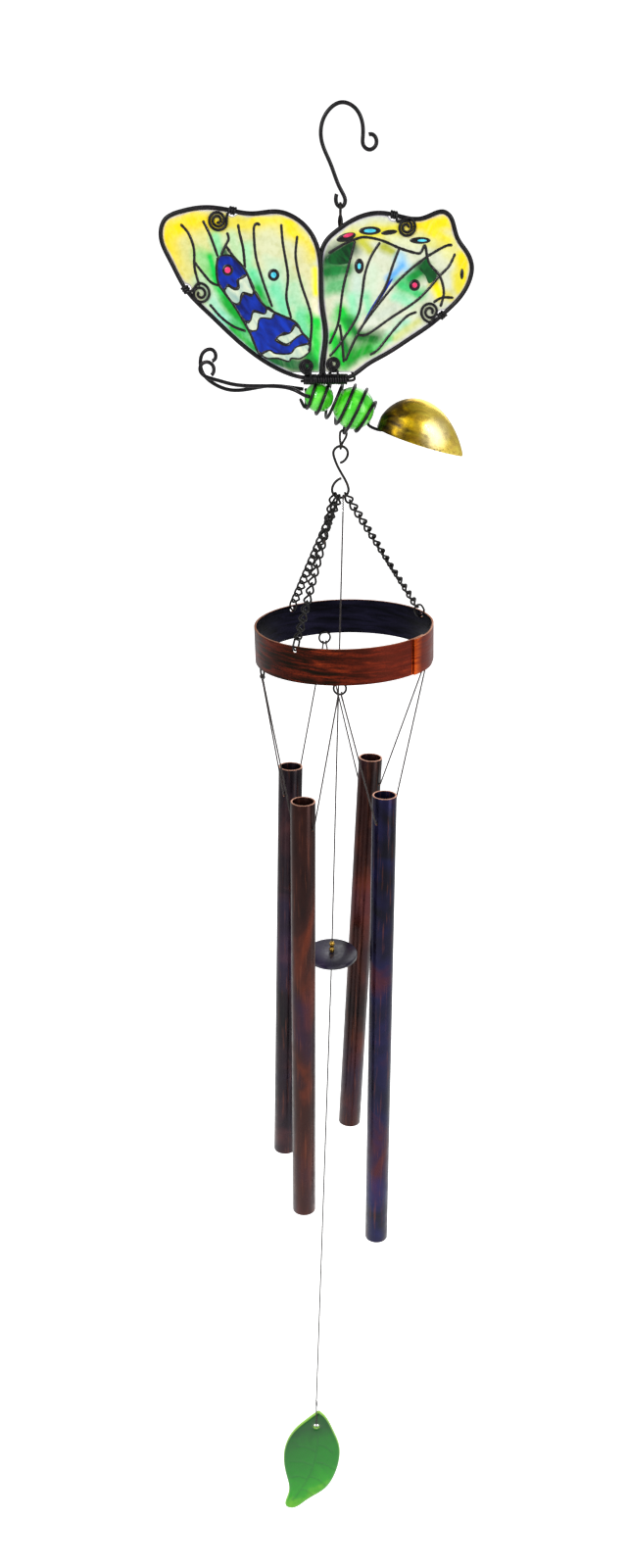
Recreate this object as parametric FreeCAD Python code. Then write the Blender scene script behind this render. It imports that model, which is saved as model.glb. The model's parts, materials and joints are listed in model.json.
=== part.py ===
import FreeCAD, Part
import math
import os

# Butterfly wind chime: a wire hook carries a framed glass butterfly, which carries an S-hook,
# three chains and a copper ring.  Four tubes hang from the ring on cords, around a striker
# disc whose cord carries a glass leaf.
#
# Millimetres.  +Z is up, +X is towards the butterfly's tail, and -Y is the front.
# The origin is where the hook rests on whatever carries it: the inside of its arch.

V = FreeCAD.Vector
X_AXIS = V(1, 0, 0)
Y_AXIS = V(0, 1, 0)
Z_AXIS = V(0, 0, 1)

# ---- wires and cords -------------------------------------------------------------------
HOOK_WIRE = 1.8
HANGER_WIRE = 1.1
FRAME_WIRE = 1.6
CLIP_WIRE = 0.9
BINDING_WIRE = 0.8
COIL_WIRE = 1.2
ANTENNA_WIRE = 1.4
LINK_WIRE = 1.0
S_HOOK_WIRE = 1.1
CHAIN_WIRE = 0.95
END_LINK_WIRE = 0.9
EYELET_WIRE = 0.9
CORD = 0.75
SLACK = 0.1                  # gap left where one wire hangs on another

# ---- hanging hook ----------------------------------------------------------------------
HOOK_EYE_BOTTOM = V(-0.2, 0, -42.4)
HOOK_LINE = [(-1.9, -36.9), (-2.3, -39.4), (-1.6, -41.5), (-0.2, -42.4), (1.3, -41.6), (1.9, -39.4),
             (1.0, -37.0), (-0.6, -34.2), (-4.8, -24.2), (-8.9, -14.2), (-9.0, -9.2), (-6.0, -2.6),
             (0.0, 0.9), (5.8, -1.2), (8.9, -6.0), (9.6, -13.0), (9.9, -16.6), (12.6, -18.4),
             (15.5, -16.4), (14.9, -12.9), (12.2, -12.2)]
TWIST_PITCH = 12.0
TWIST_TOP = -45.6
TWIST_BOTTOM = -111.0

# ---- wings -----------------------------------------------------------------------------
WING_DEPTH = -4.8            # the wings hang in front of the hanger wire and the body
WING_OFFSET = 0.82           # the two wing frames lie one behind the other
GLASS_THICKNESS = 1.8
GLASS_GAP = 0.45             # clear gap between a frame wire and its glass
ROOT_Z = -117.2              # height of the bound wires at the wing roots
BAR_DROP = 1.42              # the hanger wire's ends run this far below the wing wires
ROOT_CUT_Z = -114.4          # the glass stops short of the binding
LEFT_WING = [(-11.5, -117.2), (-18.5, -116.7), (-32.0, -111.5), (-47.2, -100.7), (-60.9, -88.0),
             (-70.8, -77.7), (-77.6, -65.1), (-81.6, -54.2), (-79.4, -47.5), (-72.9, -44.3),
             (-59.7, -42.4), (-49.0, -43.8), (-40.0, -45.0), (-28.5, -44.2), (-20.0, -47.2),
             (-12.8, -54.4), (-9.7, -62.9), (-9.0, -76.9), (-8.3, -87.4), (-7.0, -96.4),
             (-7.5, -103.9), (-8.6, -112.4), (-9.4, -116.1)]
RIGHT_WING = [(-5.0, -117.2), (-2.0, -117.2), (1.2, -117.2), (4.2, -116.9), (7.4, -115.3),
              (12.5, -111.5), (21.2, -106.6), (32.8, -99.3), (41.4, -93.6), (49.0, -87.3),
              (54.8, -81.5), (58.9, -74.5), (60.0, -67.9), (57.6, -61.7), (53.2, -55.9),
              (51.2, -50.4), (49.2, -46.1), (46.4, -44.3), (42.0, -45.1), (36.0, -47.2),
              (28.7, -46.7), (18.4, -44.8), (7.5, -46.8), (-1.0, -51.7), (-7.2, -57.5),
              (-9.4, -64.4), (-9.3, -74.9), (-8.6, -85.4), (-7.2, -93.4), (-6.9, -99.9),
              (-7.5, -105.9), (-8.0, -111.9), (-7.0, -116.1)]

# each clip: spiral centre, spiral radius, turns, the frame point that its tail is wound on
LEFT_CLIPS = {"top": ((-55.6, -47.8), 4.4, 2.2, (-49.0, -43.8)),
              "side": ((-64.2, -79.4), 4.6, 1.9, (-70.8, -77.7))}
RIGHT_CLIPS = {"top": ((29.6, -50.9), 4.2, 2.2, (24.0, -45.7)),
               "side": ((41.3, -87.4), 4.5, 1.9, (47.0, -89.1))}
LEFT_ROOT_SPIRAL = ((-15.6, -111.7), 3.3, 2.4)
RIGHT_ROOT_SPIRAL = ((-3.0, -110.9), 3.3, 2.4)
CLIP_NOTCH_RADIUS = 2.7      # room in the glass for the turns on the frame

# each binding: where it starts and ends along X, and its depth
BINDINGS = [(-16.6, -11.4, WING_DEPTH - WING_OFFSET), (-4.4, 3.2, WING_DEPTH + WING_OFFSET)]

# ---- body ------------------------------------------------------------------------------
THORAX_CENTRE = V(-9.8, 0, -126.7)
THORAX_RADIUS = 7.0
ABDOMEN_RADIUS = 10.0
BODY_SLOPE = 17.2            # degrees below horizontal, towards the tail
BEAD_GAP = 0.3
COIL_PITCH = 5.5
COIL_START = -5.0            # distance along the body where the coil first passes underneath
COIL_TURNS = 6
COIL_LEAN = (-0.8, 1.4)      # how far the loops lean, at the head and at the tail
COIL_CLEARANCE = 0.2
COIL_WAIST = 0.7             # how far the coil draws in between the beads
HANGING_TURN = 4             # the loop that sags to take the link
SAG = 1.7
SAG_WIDTH = 0.5
TAIL_START = V(17.2, 0, -140.7)
TAIL_LENGTH = 44.6
TAIL_HEIGHT = 19.2
TAIL_HALF_WIDTH = 13.0
TAIL_SLOPE = 18.3
TAIL_SHEET = 0.9
TAIL_PEAK = 0.40             # where along its length the shell is highest

# ---- links below the body --------------------------------------------------------------
LINK_HALF_WIDTH = 1.6
S_HOOK_UPPER_RADIUS = 3.5
S_HOOK_LOWER_RADIUS = 4.0
S_HOOK_BOTTOM_Z = -174.5
S_HOOK_X = 0.6
S_HOOK_HANGERS = {"front": -45.0, "back": -10.0, "cord": 20.0, "right": 48.0}

# ---- ring ------------------------------------------------------------------------------
RING_CENTRE = V(3.0, 0, -246.5)
RING_TILT = 1.5              # degrees, right side high
RING_RADIUS = 45.0
RING_SHEET = 1.0
RING_HEIGHT = 18.0
LAP_ANGLE = -43.0            # the outer end of the lapped strip
LAP_WIDTH = 12.0
LAP_RAMP = 22.0
CHAIN_ANGLES = {"right": 24.5, "back": 127.0, "front": 237.0}
CHAIN_HOLE_DROP = 2.0
CHAIN_HOLE_RADIUS = 1.3
CHAIN_LINKS = 16
CHAIN_HALF_WIDTH = 1.8
END_LINK_RADIUS = 2.4
END_LINK_STRAIGHT = 1.5
EYELET_RADIUS = 3.0
EYELET_ANGLES = {"right": 13.0, "back": 103.0, "left": 198.0, "front": 266.0}
EYELET_DROP = 1.9            # eyelet centre below the ring's bottom edge

# ---- tubes -----------------------------------------------------------------------------
TUBE_RADIUS = 6.35
TUBE_WALL = 0.9
TUBE_HOLE_DROP = 14.0
TUBE_HOLE_RADIUS = 0.9
# each tube: eyelets it hangs between, axis at the top, length, lean towards -X in degrees
TUBES = {"front_left": ("left", "front", V(-17.7, -29.6, -322.0), 250.0, 0.0),
         "front_right": ("front", "right", V(24.1, -15.2, -324.5), 278.0, 0.0),
         "back_left": ("back", "left", V(-24.5, 11.1, -319.0), 241.0, 1.1),
         "back_right": ("right", "back", V(18.3, 26.7, -320.0), 232.0, 2.3)}
CORD_SPREAD = 16.0           # degrees either side of an eyelet's lowest point
CORD_LOOP_RADIUS = 0.95
CORD_STANDOFF = 0.55         # cord centre outside the tube wall
KNOT_RADIUS = 0.7
KNOT_LENGTH = 3.6

# ---- striker and leaf ------------------------------------------------------------------
STRIKER_LOOP_RADIUS = 1.25
STRIKER_KNOT_TOP = -176.0
STRIKER_KNOT_BOTTOM = -181.0
STRIKER_CENTRE = V(-2.4, 0, -425.3)
STRIKER_RADIUS = 13.8
STRIKER_THICKNESS = 2.6
STRIKER_HOLE_RADIUS = 1.0
STRIKER_TILT = 5.0           # degrees, front edge low
CRIMP_LENGTH = 6.0
CRIMP_RADIUS = 1.4
LEAF_OUTLINE = [(-8.6, -750.2), (-5.0, -754.0), (0.2, -765.5), (4.0, -778.0), (4.2, -789.0),
                (1.8, -801.0), (-5.0, -814.5), (-16.0, -824.0), (-26.5, -830.8), (-29.6, -829.6),
                (-28.9, -818.0), (-29.8, -804.0), (-31.5, -790.0), (-29.8, -776.0), (-23.8, -764.0),
                (-15.6, -755.2), (-11.0, -751.0)]
LEAF_THICKNESS = 4.0
LEAF_EDGE = 0.8
LEAF_HOLE = V(-10.6, 0, -761.6)
LEAF_HOLE_RADIUS = 1.5
TIE_KNOT_BOTTOM = -745.6
TIE_KNOT_TOP = -741.6
TIE_X = -10.6


# ---- general shapes --------------------------------------------------------------------
def spline(points, closed=False):
    curve = Part.BSplineCurve()
    curve.interpolate([V(*p) for p in points], PeriodicFlag=closed)
    return curve


def swept(curve, first, last, diameter):
    start = Part.makeCircle(diameter / 2, curve.value(first), curve.tangent(first)[0])
    path = Part.Wire([curve.toShape(first, last)])
    return path.makePipe(Part.Face(Part.Wire([start])))


def rod(points, diameter):
    """A round wire along a smooth open curve."""
    curve = spline(points)
    return swept(curve, curve.FirstParameter, curve.LastParameter, diameter)


def closed_rod(points, diameter):
    """A round wire along a smooth closed curve: two lengths joined, split where the join holds."""
    curve = spline(points, closed=True)
    first, last = curve.FirstParameter, curve.LastParameter
    for share in (0.5, 0.37, 0.43, 0.57, 0.31, 0.63, 0.25):
        middle = first + (last - first) * share
        joined = swept(curve, first, middle, diameter).fuse(swept(curve, middle, last, diameter))
        if len(joined.Solids) == 1 and joined.isValid():
            return joined.Solids[0]
    raise ValueError("closed wire could not be joined")


def straight(a, b, diameter):
    return Part.makeCylinder(diameter / 2, (b - a).Length, a, b - a)


def cord_path(points, diameter):
    """Straight stretches with a round elbow at each bend."""
    pieces = [straight(a, b, diameter) for a, b in zip(points, points[1:])]
    elbows = [Part.makeSphere(diameter / 2, p) for p in points[1:-1]]
    return pieces[0].multiFuse(pieces[1:] + elbows)


def flat(points, depth=0.0):
    """Points given as (x, z) in a plane parallel to XZ."""
    return [(x, depth, z) for x, z in points]


def direction(degrees):
    return V(math.cos(math.radians(degrees)), math.sin(math.radians(degrees)), 0)


def turned_solid(profile, base, axis):
    """A solid of revolution about axis through base.  profile holds (height, radius)."""
    points = [V(radius, 0, height) for height, radius in profile]
    curve = Part.BSplineCurve()
    curve.interpolate(points)
    top, bottom = V(0, 0, profile[-1][0]), V(0, 0, profile[0][0])
    edges = [curve.toShape(), Part.makeLine(points[-1], top), Part.makeLine(top, bottom),
             Part.makeLine(bottom, points[0])]
    solid = Part.Face(Part.Wire(edges)).revolve(V(0, 0, 0), Z_AXIS, 360)
    solid.Placement = FreeCAD.Placement(base, FreeCAD.Rotation(Z_AXIS, axis))
    return solid


def knot(top, bottom, radius):
    """A small overhand knot: a lump with two swellings."""
    length = (bottom - top).Length
    profile = [(0, 0.6 * radius), (0.22 * length, radius), (0.5 * length, 0.8 * radius),
               (0.78 * length, radius), (length, 0.6 * radius)]
    return turned_solid(profile, top, bottom - top)


# ---- hook and hanger wire ---------------------------------------------------------------
def hanging_hook():
    return rod(flat(HOOK_LINE), HOOK_WIRE)


def hanger_wire():
    """One wire doubled over the hook's eye and twisted; its two ends run through the bindings."""
    radius = HANGER_WIRE / 2 + 0.05
    loop = (HOOK_WIRE + HANGER_WIRE) / 2 + 0.15
    centre = HOOK_EYE_BOTTOM
    steps = 52
    span = TWIST_TOP - TWIST_BOTTOM

    def strand(phase, tail):
        points = []
        for k in range(steps + 1):
            fall = span * k / steps
            angle = phase + 2 * math.pi * fall / TWIST_PITCH
            points.append((centre.x + radius * math.sin(angle), radius * math.cos(angle), TWIST_TOP - fall))
        return rod(points + tail, HANGER_WIRE)

    over = [(centre.x, -radius, TWIST_TOP)]
    for degrees in (-30, 20, 55, 90, 125, 160, 210):
        a = math.radians(degrees)
        over.append((centre.x, -loop * math.cos(a), centre.z + loop * math.sin(a)))
    over.append((centre.x, radius, TWIST_TOP))
    bar = ROOT_Z - BAR_DROP
    left, right = WING_DEPTH - WING_OFFSET, WING_DEPTH + WING_OFFSET
    to_left = [(-3.4, -0.5, -114.3), (-6.8, -2.6, bar + 1.2), (-9.4, -4.8, bar + 0.1),
               (-11.6, left, bar), (-14.5, left, bar), (-18.4, left, bar)]
    to_right = [(3.6, 0.4, -113.3), (6.4, -0.6, bar + 2.4), (6.8, -2.6, bar + 0.5),
                (4.4, right + 0.1, bar), (1.6, right, bar), (-1.6, right, bar), (-5.4, right, bar)]
    return rod(over, HANGER_WIRE).multiFuse([strand(math.pi, to_left), strand(0.0, to_right)])


# ---- wings -----------------------------------------------------------------------------
def wing_frame(outline, depth):
    return closed_rod(flat(outline, depth), FRAME_WIRE)


def inward_outline(outline, distance):
    """Points a fixed distance inside a closed outline that runs clockwise seen from the front."""
    curve = spline(flat(outline), closed=True)
    count = 90
    span = curve.LastParameter - curve.FirstParameter
    area = sum(a[0] * b[1] - b[0] * a[1] for a, b in zip(outline, outline[1:] + outline[:1]))
    side = 1 if area > 0 else -1
    points = []
    for k in range(count):
        u = curve.FirstParameter + span * k / count
        p, t = curve.value(u), curve.tangent(u)[0]
        points.append((p.x - side * t.z * distance, p.z + side * t.x * distance))
    return points


def wing_glass(outline, depth, notches):
    points = inward_outline(outline, FRAME_WIRE / 2 + GLASS_GAP)
    curve = spline(flat(points, depth - GLASS_THICKNESS / 2), closed=True)
    sheet = Part.Face(Part.Wire([curve.toShape()])).extrude(V(0, GLASS_THICKNESS, 0))
    below = Part.makeBox(200, 40, 100, V(-100, -20, ROOT_CUT_Z - 100))
    cuts = [below]
    for x, z in notches:
        cuts.append(Part.makeCylinder(CLIP_NOTCH_RADIUS, 20, V(x, -10, z), Y_AXIS))
    for cut in cuts:
        sheet = sheet.cut(cut)
    return sheet


def spiral_points(centre, radius, turns, start_degrees, depth, sense):
    """From the middle of a flat spiral outwards."""
    points = []
    count = int(turns * 10)
    for k in range(count + 1):
        grow = k / count
        a = math.radians(start_degrees) - sense * 2 * math.pi * turns * (1 - grow)
        r = 0.9 + (radius - 0.9) * grow
        points.append((centre[0] + r * math.cos(a), depth, centre[1] + r * math.sin(a)))
    return points


def wing_clip(clip, outline, depth):
    """A spiral that presses on the glass, with its tail wound round the frame wire."""
    centre, radius, turns, anchor = clip
    front = depth - GLASS_THICKNESS / 2 - CLIP_WIRE / 2 - 0.05
    frame = spline(flat(outline, depth), closed=True)
    where = frame.parameter(V(anchor[0], depth, anchor[1]))
    frame_point, along = frame.value(where), frame.tangent(where)[0]
    away = V(-along.z, 0, along.x)
    to_frame = frame_point - V(centre[0], depth, centre[1])
    if away.dot(to_frame) < 0:
        away = away * -1
    if along.dot(to_frame) < 0:
        along = along * -1
    wrap = (FRAME_WIRE + CLIP_WIRE) / 2 + 0.06
    leave = math.degrees(math.atan2(to_frame.z, to_frame.x)) - 65
    points = spiral_points(centre, radius, turns, leave, front, 1)
    lead = frame_point - away * 2.2 - along * 1.8
    points.append((lead.x, front, lead.z))
    for k in range(21):
        a = 2 * math.pi * 2.25 * k / 20
        p = frame_point + along * (1.15 * (a / (2 * math.pi) - 1.0))
        p = p + away * (wrap * math.sin(a)) - Y_AXIS * (wrap * math.cos(a))
        points.append((p.x, p.y, p.z))
    return rod(points, CLIP_WIRE)


def root_clip(spiral, depth):
    """A spiral on the glass whose tail drops in front of the binding."""
    centre, radius, turns = spiral
    front = depth - GLASS_THICKNESS / 2 - CLIP_WIRE / 2 - 0.2
    points = spiral_points(centre, radius, turns, -80, front, 1)
    binding_front = depth - binding_radius() - (BINDING_WIRE + CLIP_WIRE) / 2 - 0.1
    points.append((centre[0] + 1.5, front - 0.9, ROOT_Z + 3.4))
    points.append((centre[0] + 1.9, binding_front, ROOT_Z + 1.0))
    points.append((centre[0] + 2.0, binding_front, ROOT_Z - 1.6))
    return rod(points, CLIP_WIRE)


def binding_radius():
    """Centre of the binding wire from the middle of the two wires it holds."""
    held = (FRAME_WIRE + HANGER_WIRE) / 2 + BAR_DROP
    return held / 2 + BINDING_WIRE / 2 + 0.15


def root_binding():
    """Two close coils that bind each wing's lowest wire to one end of the hanger wire."""
    pitch = BINDING_WIRE + 0.1
    middle = ROOT_Z + (FRAME_WIRE - HANGER_WIRE - 2 * BAR_DROP) / 4
    coils = []
    for low, high, depth in BINDINGS:
        helix = Part.makeHelix(pitch, high - low, binding_radius())
        ring = Part.makeCircle(BINDING_WIRE / 2, V(binding_radius(), 0, 0), Y_AXIS)
        coil = Part.Wire(helix.Edges).makePipe(Part.Face(Part.Wire([ring])))
        coil.Placement = FreeCAD.Placement(V(low, depth, middle), FreeCAD.Rotation(Y_AXIS, 90))
        coils.append(coil)
    return Part.Compound(coils)


# ---- body ------------------------------------------------------------------------------
def body_axis():
    slope = math.radians(BODY_SLOPE)
    return V(math.cos(slope), 0, -math.sin(slope)), V(math.sin(slope), 0, math.cos(slope))


def bead_distance():
    return THORAX_RADIUS + ABDOMEN_RADIUS + BEAD_GAP


def coil_radius(s):
    """Distance of the coil wire's centre from the body axis, clear of both beads."""
    extra = COIL_CLEARANCE + COIL_WIRE / 2
    small, large, far = THORAX_RADIUS + extra, ABDOMEN_RADIUS + extra, bead_distance()
    if s < 0:
        return math.sqrt(small ** 2 - s ** 2)
    if s > far:
        return math.sqrt(large ** 2 - (s - far) ** 2)
    blend = s / far
    waist = COIL_WAIST * math.sin(math.pi * blend) ** 2
    return small + (large - small) * blend * blend * (3 - 2 * blend) - waist


def coil_point(turn):
    """turn counts whole turns from the first pass underneath; quarter turns run front, top, back."""
    along, up = body_axis()
    a = 2 * math.pi * turn
    lean = COIL_LEAN[0] + (COIL_LEAN[1] - COIL_LEAN[0]) * turn / COIL_TURNS
    s = COIL_START + COIL_PITCH * turn - lean * math.cos(a)
    radius = coil_radius(s) + SAG * math.exp(-((a - 2 * math.pi * HANGING_TURN) / SAG_WIDTH) ** 2)
    return THORAX_CENTRE + along * s - up * (radius * math.cos(a)) - Y_AXIS * (radius * math.sin(a))


def body_coil():
    points = [coil_point(-0.3 + k / 16) for k in range(int((COIL_TURNS + 0.3) * 16) + 1)]
    along = body_axis()[0]
    end = points[-1]
    points.append(end + along * 3.0 - V(0, 0, 0.9))
    points.append(end + along * 6.5 - V(0, 0, 0.7))
    return rod([tuple(p) for p in points], COIL_WIRE)


def bead(centre, radius):
    return Part.makeSphere(radius, centre)


def front_antenna():
    line = [(-14.6, -7.0, -125.4), (-16.8, -5.4, -125.0), (-19.4, -3.2, -123.9), (-23.5, -2.0, -122.4),
            (-30.5, -2.0, -121.4), (-41.0, -2.2, -121.2), (-51.0, -2.4, -120.3), (-57.0, -2.5, -118.7),
            (-61.0, -2.6, -117.6)]
    curl = []
    for k in range(9):
        a = math.radians(-130 - 35 * k)
        curl.append((-62.3 + 3.3 * math.cos(a), -2.7 - 0.25 * k, -113.4 + 3.3 * math.sin(a)))
    return rod(line + curl, ANTENNA_WIRE)


def rear_antenna():
    line = [(-17.4, 3.4, -123.4), (-24.0, 2.6, -122.4), (-33.0, 2.6, -121.8), (-43.0, 2.8, -123.3),
            (-52.0, 2.8, -123.7), (-59.5, 2.8, -120.9), (-64.6, 2.6, -116.1), (-65.7, 2.4, -110.3),
            (-63.2, 2.2, -105.6), (-59.8, 2.2, -105.3), (-58.4, 2.2, -108.1), (-60.0, 2.2, -110.3)]
    return rod(line, ANTENNA_WIRE)


def head_loop():
    """The small loop of wire at the head."""
    points = []
    for k in range(16):
        a = 2 * math.pi * k / 16
        points.append((-17.7 - 0.9 * math.cos(a), 2.6 * math.sin(a), -129.6 + 1.8 * math.cos(a)))
    return closed_rod(points, 0.9)


def tail_profile(grow):
    """Height of the shell above its rim, as a share of its peak, at a share of its length."""
    if grow <= TAIL_PEAK:
        return math.sqrt(max(0.0, 1 - ((TAIL_PEAK - grow) / TAIL_PEAK) ** 2))
    far = (grow - TAIL_PEAK) / (1 - TAIL_PEAK)
    return (1 - far ** 2) ** 0.9


def tail_shell():
    """A thin half egg, open below, round at the body and pointed at the far end."""
    shares = [0.02, 0.06, 0.13, 0.24, 0.40, 0.55, 0.70, 0.82, 0.92, 0.985]
    outer = [(TAIL_LENGTH * s, TAIL_HEIGHT * tail_profile(s)) for s in shares]
    inner = []
    for s in shares:
        share = 0.045 + s * 0.91
        inner.append((TAIL_LENGTH * share, TAIL_HEIGHT * tail_profile(share) - TAIL_SHEET))

    def half(profile):
        return turned_solid(profile, V(0, 0, 0), Z_AXIS)

    egg = half(outer).cut(half(inner))
    keep = Part.makeBox(2 * TAIL_HEIGHT, TAIL_HEIGHT * 4, TAIL_LENGTH * 2, V(0, -2 * TAIL_HEIGHT, -5))
    egg = egg.common(keep)
    narrow = FreeCAD.Matrix()
    narrow.scale(1, TAIL_HALF_WIDTH / TAIL_HEIGHT, 1)
    egg = egg.transformGeometry(narrow)
    slope = math.radians(TAIL_SLOPE)
    lengthwise = V(math.cos(slope), 0, -math.sin(slope))
    upward = V(math.sin(slope), 0, math.cos(slope))
    turn = FreeCAD.Rotation(upward, V(0, -1, 0), lengthwise, "ZXY")
    return egg.transformed(FreeCAD.Placement(TAIL_START, turn).toMatrix(), True)


# ---- links -----------------------------------------------------------------------------
def curb_link(top, bottom, normal, twist, half_width, wire):
    """A twisted oval link.  normal faces the link at its middle; each end is turned by half of twist."""
    down = (bottom - top)
    half_length = down.Length / 2
    down.normalize()
    normal = (normal - down * normal.dot(down)).normalize()
    side = down.cross(normal)
    middle = (top + bottom) / 2
    flank = half_length - half_width
    outline = []
    for k in range(7):
        a = math.pi * k / 6
        outline.append((half_width * math.cos(a), -flank - half_width * math.sin(a)))
    outline.append((-half_width, 0))
    for k in range(7):
        a = math.pi + math.pi * k / 6
        outline.append((half_width * math.cos(a), flank - half_width * math.sin(a)))
    outline.append((half_width, 0))
    points = []
    for across, length in outline:
        share = max(-1, min(1, length / half_length))
        a = math.radians(twist / 2) * math.sin(math.pi / 2 * share)
        points.append(tuple(middle + down * length
                            + side * (across * math.cos(a)) + normal * (across * math.sin(a))))
    return closed_rod(points, wire)


def link_top():
    """Centre of the link wire where it passes over the sagging coil loop."""
    rise = (COIL_WIRE + LINK_WIRE) / 2 + SLACK
    return coil_point(HANGING_TURN) + V(0, 0, rise)


def s_hook_top():
    upper_z = S_HOOK_BOTTOM_Z + 24.8
    return V(S_HOOK_X, 0, upper_z)


def link_bottom():
    drop = (S_HOOK_WIRE + LINK_WIRE) / 2 + SLACK
    return s_hook_top() - V(0, 0, drop)


def hanging_link():
    """Its top loop faces the front and its bottom loop faces the side."""
    faces = V(1, -1, 0)
    return curb_link(link_top(), link_bottom(), faces, 90, LINK_HALF_WIDTH, LINK_WIRE)


def s_hook():
    """Two opposite round hooks joined by a slanting shank, bent in one plane."""
    x, top = S_HOOK_X, S_HOOK_BOTTOM_Z + 24.8
    r = S_HOOK_UPPER_RADIUS
    upper = V(x, 0, top - r)
    lower = V(x, 0, S_HOOK_BOTTOM_Z + S_HOOK_LOWER_RADIUS)
    points = [(x - 0.2, upper.z - 4.4)]
    for degrees in (-28, 10, 50, 90, 130, 170, 205):
        a = math.radians(degrees)
        points.append((upper.x + r * math.cos(a), upper.z + r * math.sin(a)))
    points.append((x, (upper.z + lower.z) / 2))
    r = S_HOOK_LOWER_RADIUS
    for degrees in (25, -10, -50, -90, -130, -170, -208):
        a = math.radians(degrees)
        points.append((lower.x + r * math.cos(a), lower.z + r * math.sin(a)))
    points.append((x + 0.5, lower.z + 5.4))
    return rod(flat(points), S_HOOK_WIRE)


def s_hook_seat(name):
    """Centre of the S-hook wire where a chain or the cord hangs on it."""
    a = math.radians(S_HOOK_HANGERS[name])
    r = S_HOOK_LOWER_RADIUS
    return V(S_HOOK_X + r * math.sin(a), 0, S_HOOK_BOTTOM_Z + r - r * math.cos(a))


# ---- ring ------------------------------------------------------------------------------
def ring_frame():
    return FreeCAD.Placement(RING_CENTRE, FreeCAD.Rotation(Y_AXIS, -RING_TILT))


def on_ring(point):
    return ring_frame().multVec(point)


def chain_hole(name):
    middle = RING_RADIUS - RING_SHEET / 2
    return on_ring(direction(CHAIN_ANGLES[name]) * middle
                   + V(0, 0, RING_HEIGHT / 2 - CHAIN_HOLE_DROP))


def lap_offset(degrees):
    """How far the strip stands outside its true circle, at an angle past its outer end."""
    step = RING_SHEET + 0.06
    if degrees <= LAP_WIDTH:
        return step
    if degrees >= LAP_WIDTH + LAP_RAMP:
        return 0.0
    return step * (1 + math.cos(math.pi * (degrees - LAP_WIDTH) / LAP_RAMP)) / 2


def ring_band():
    """A flat strip rolled into a ring, its outer end lapped over its inner end."""
    def edge(radius):
        points = []
        count = 64
        for k in range(count + 1):
            past = (360 + LAP_WIDTH) * k / count
            r = radius + lap_offset(past)
            points.append(tuple(direction(LAP_ANGLE + past) * r))
        return spline(points).toShape()

    outer, inner = edge(RING_RADIUS), edge(RING_RADIUS - RING_SHEET)
    ends = [Part.makeLine(outer.Vertexes[k].Point, inner.Vertexes[k].Point) for k in (0, 1)]
    face = Part.Face(Part.Wire([outer, ends[1], inner, ends[0]]))
    band = face.extrude(V(0, 0, RING_HEIGHT))
    band.translate(V(0, 0, -RING_HEIGHT / 2))
    for degrees in CHAIN_ANGLES.values():
        out = direction(degrees)
        start = out * (RING_RADIUS - 5) + V(0, 0, RING_HEIGHT / 2 - CHAIN_HOLE_DROP)
        band = band.cut(Part.makeCylinder(CHAIN_HOLE_RADIUS, 10, start, out))
    return band.transformed(ring_frame().toMatrix(), True)


def end_link_top(name):
    hole = chain_hole(name)
    up = (s_hook_seat(name) - hole).normalize()
    return hole + up * (2 * END_LINK_RADIUS + END_LINK_STRAIGHT)


def end_links():
    """One larger oval link through each hole in the ring."""
    links = []
    for name in CHAIN_ANGLES:
        top, hole = end_link_top(name), chain_hole(name)
        sideways = direction(CHAIN_ANGLES[name] + 90)
        links.append(curb_link(top, hole, sideways, 0, END_LINK_RADIUS, END_LINK_WIRE))
    return Part.Compound(links)


def chain(name):
    """Twisted links between the S-hook and the ring's end link."""
    seat, last = s_hook_seat(name), end_link_top(name)
    down = (last - seat).normalize()
    first_reach = (S_HOOK_WIRE + CHAIN_WIRE) / 2 + 0.2
    last_reach = (END_LINK_WIRE + CHAIN_WIRE) / 2 + 0.07
    top = seat - down * first_reach
    bottom = last + down * last_reach
    overlap = CHAIN_WIRE + 0.07
    pitch = ((bottom - top).Length - overlap) / CHAIN_LINKS
    a = math.radians(S_HOOK_HANGERS[name])
    hook_wire = V(math.cos(a), 0, math.sin(a))
    hooked = (hook_wire - down * hook_wire.dot(down)).normalize()
    facing = FreeCAD.Rotation(down, -45).multVec(hooked)
    # the whole chain twists just enough to meet the end link squarely
    total = (180 - CHAIN_ANGLES[name]) % 180 - 90
    first = curb_link(top, top + down * (pitch + overlap), facing, 90, CHAIN_HALF_WIDTH, CHAIN_WIRE)
    links = []
    for k in range(CHAIN_LINKS):
        turn = FreeCAD.Rotation(down, total * k / (CHAIN_LINKS - 1))
        step = FreeCAD.Placement(down * (pitch * k), turn, top)
        links.append(first.transformed(step.toMatrix(), True))
    return Part.Compound(links)


def eyelet_centre(name):
    inside = RING_RADIUS - RING_SHEET - EYELET_WIRE / 2 - 0.22
    return on_ring(direction(EYELET_ANGLES[name]) * inside - V(0, 0, RING_HEIGHT / 2 + EYELET_DROP))


def eyelets():
    rings = []
    for name in EYELET_ANGLES:
        rings.append(Part.makeTorus(EYELET_RADIUS, EYELET_WIRE / 2, eyelet_centre(name),
                                    direction(EYELET_ANGLES[name])))
    return Part.Compound(rings)


# ---- tubes and their cords --------------------------------------------------------------
def tube_down(name):
    lean = math.radians(TUBES[name][4])
    return V(-math.sin(lean), 0, -math.cos(lean))


def tube_pivot(name):
    """Centre of the cross hole."""
    return TUBES[name][2] + tube_down(name) * TUBE_HOLE_DROP


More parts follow.
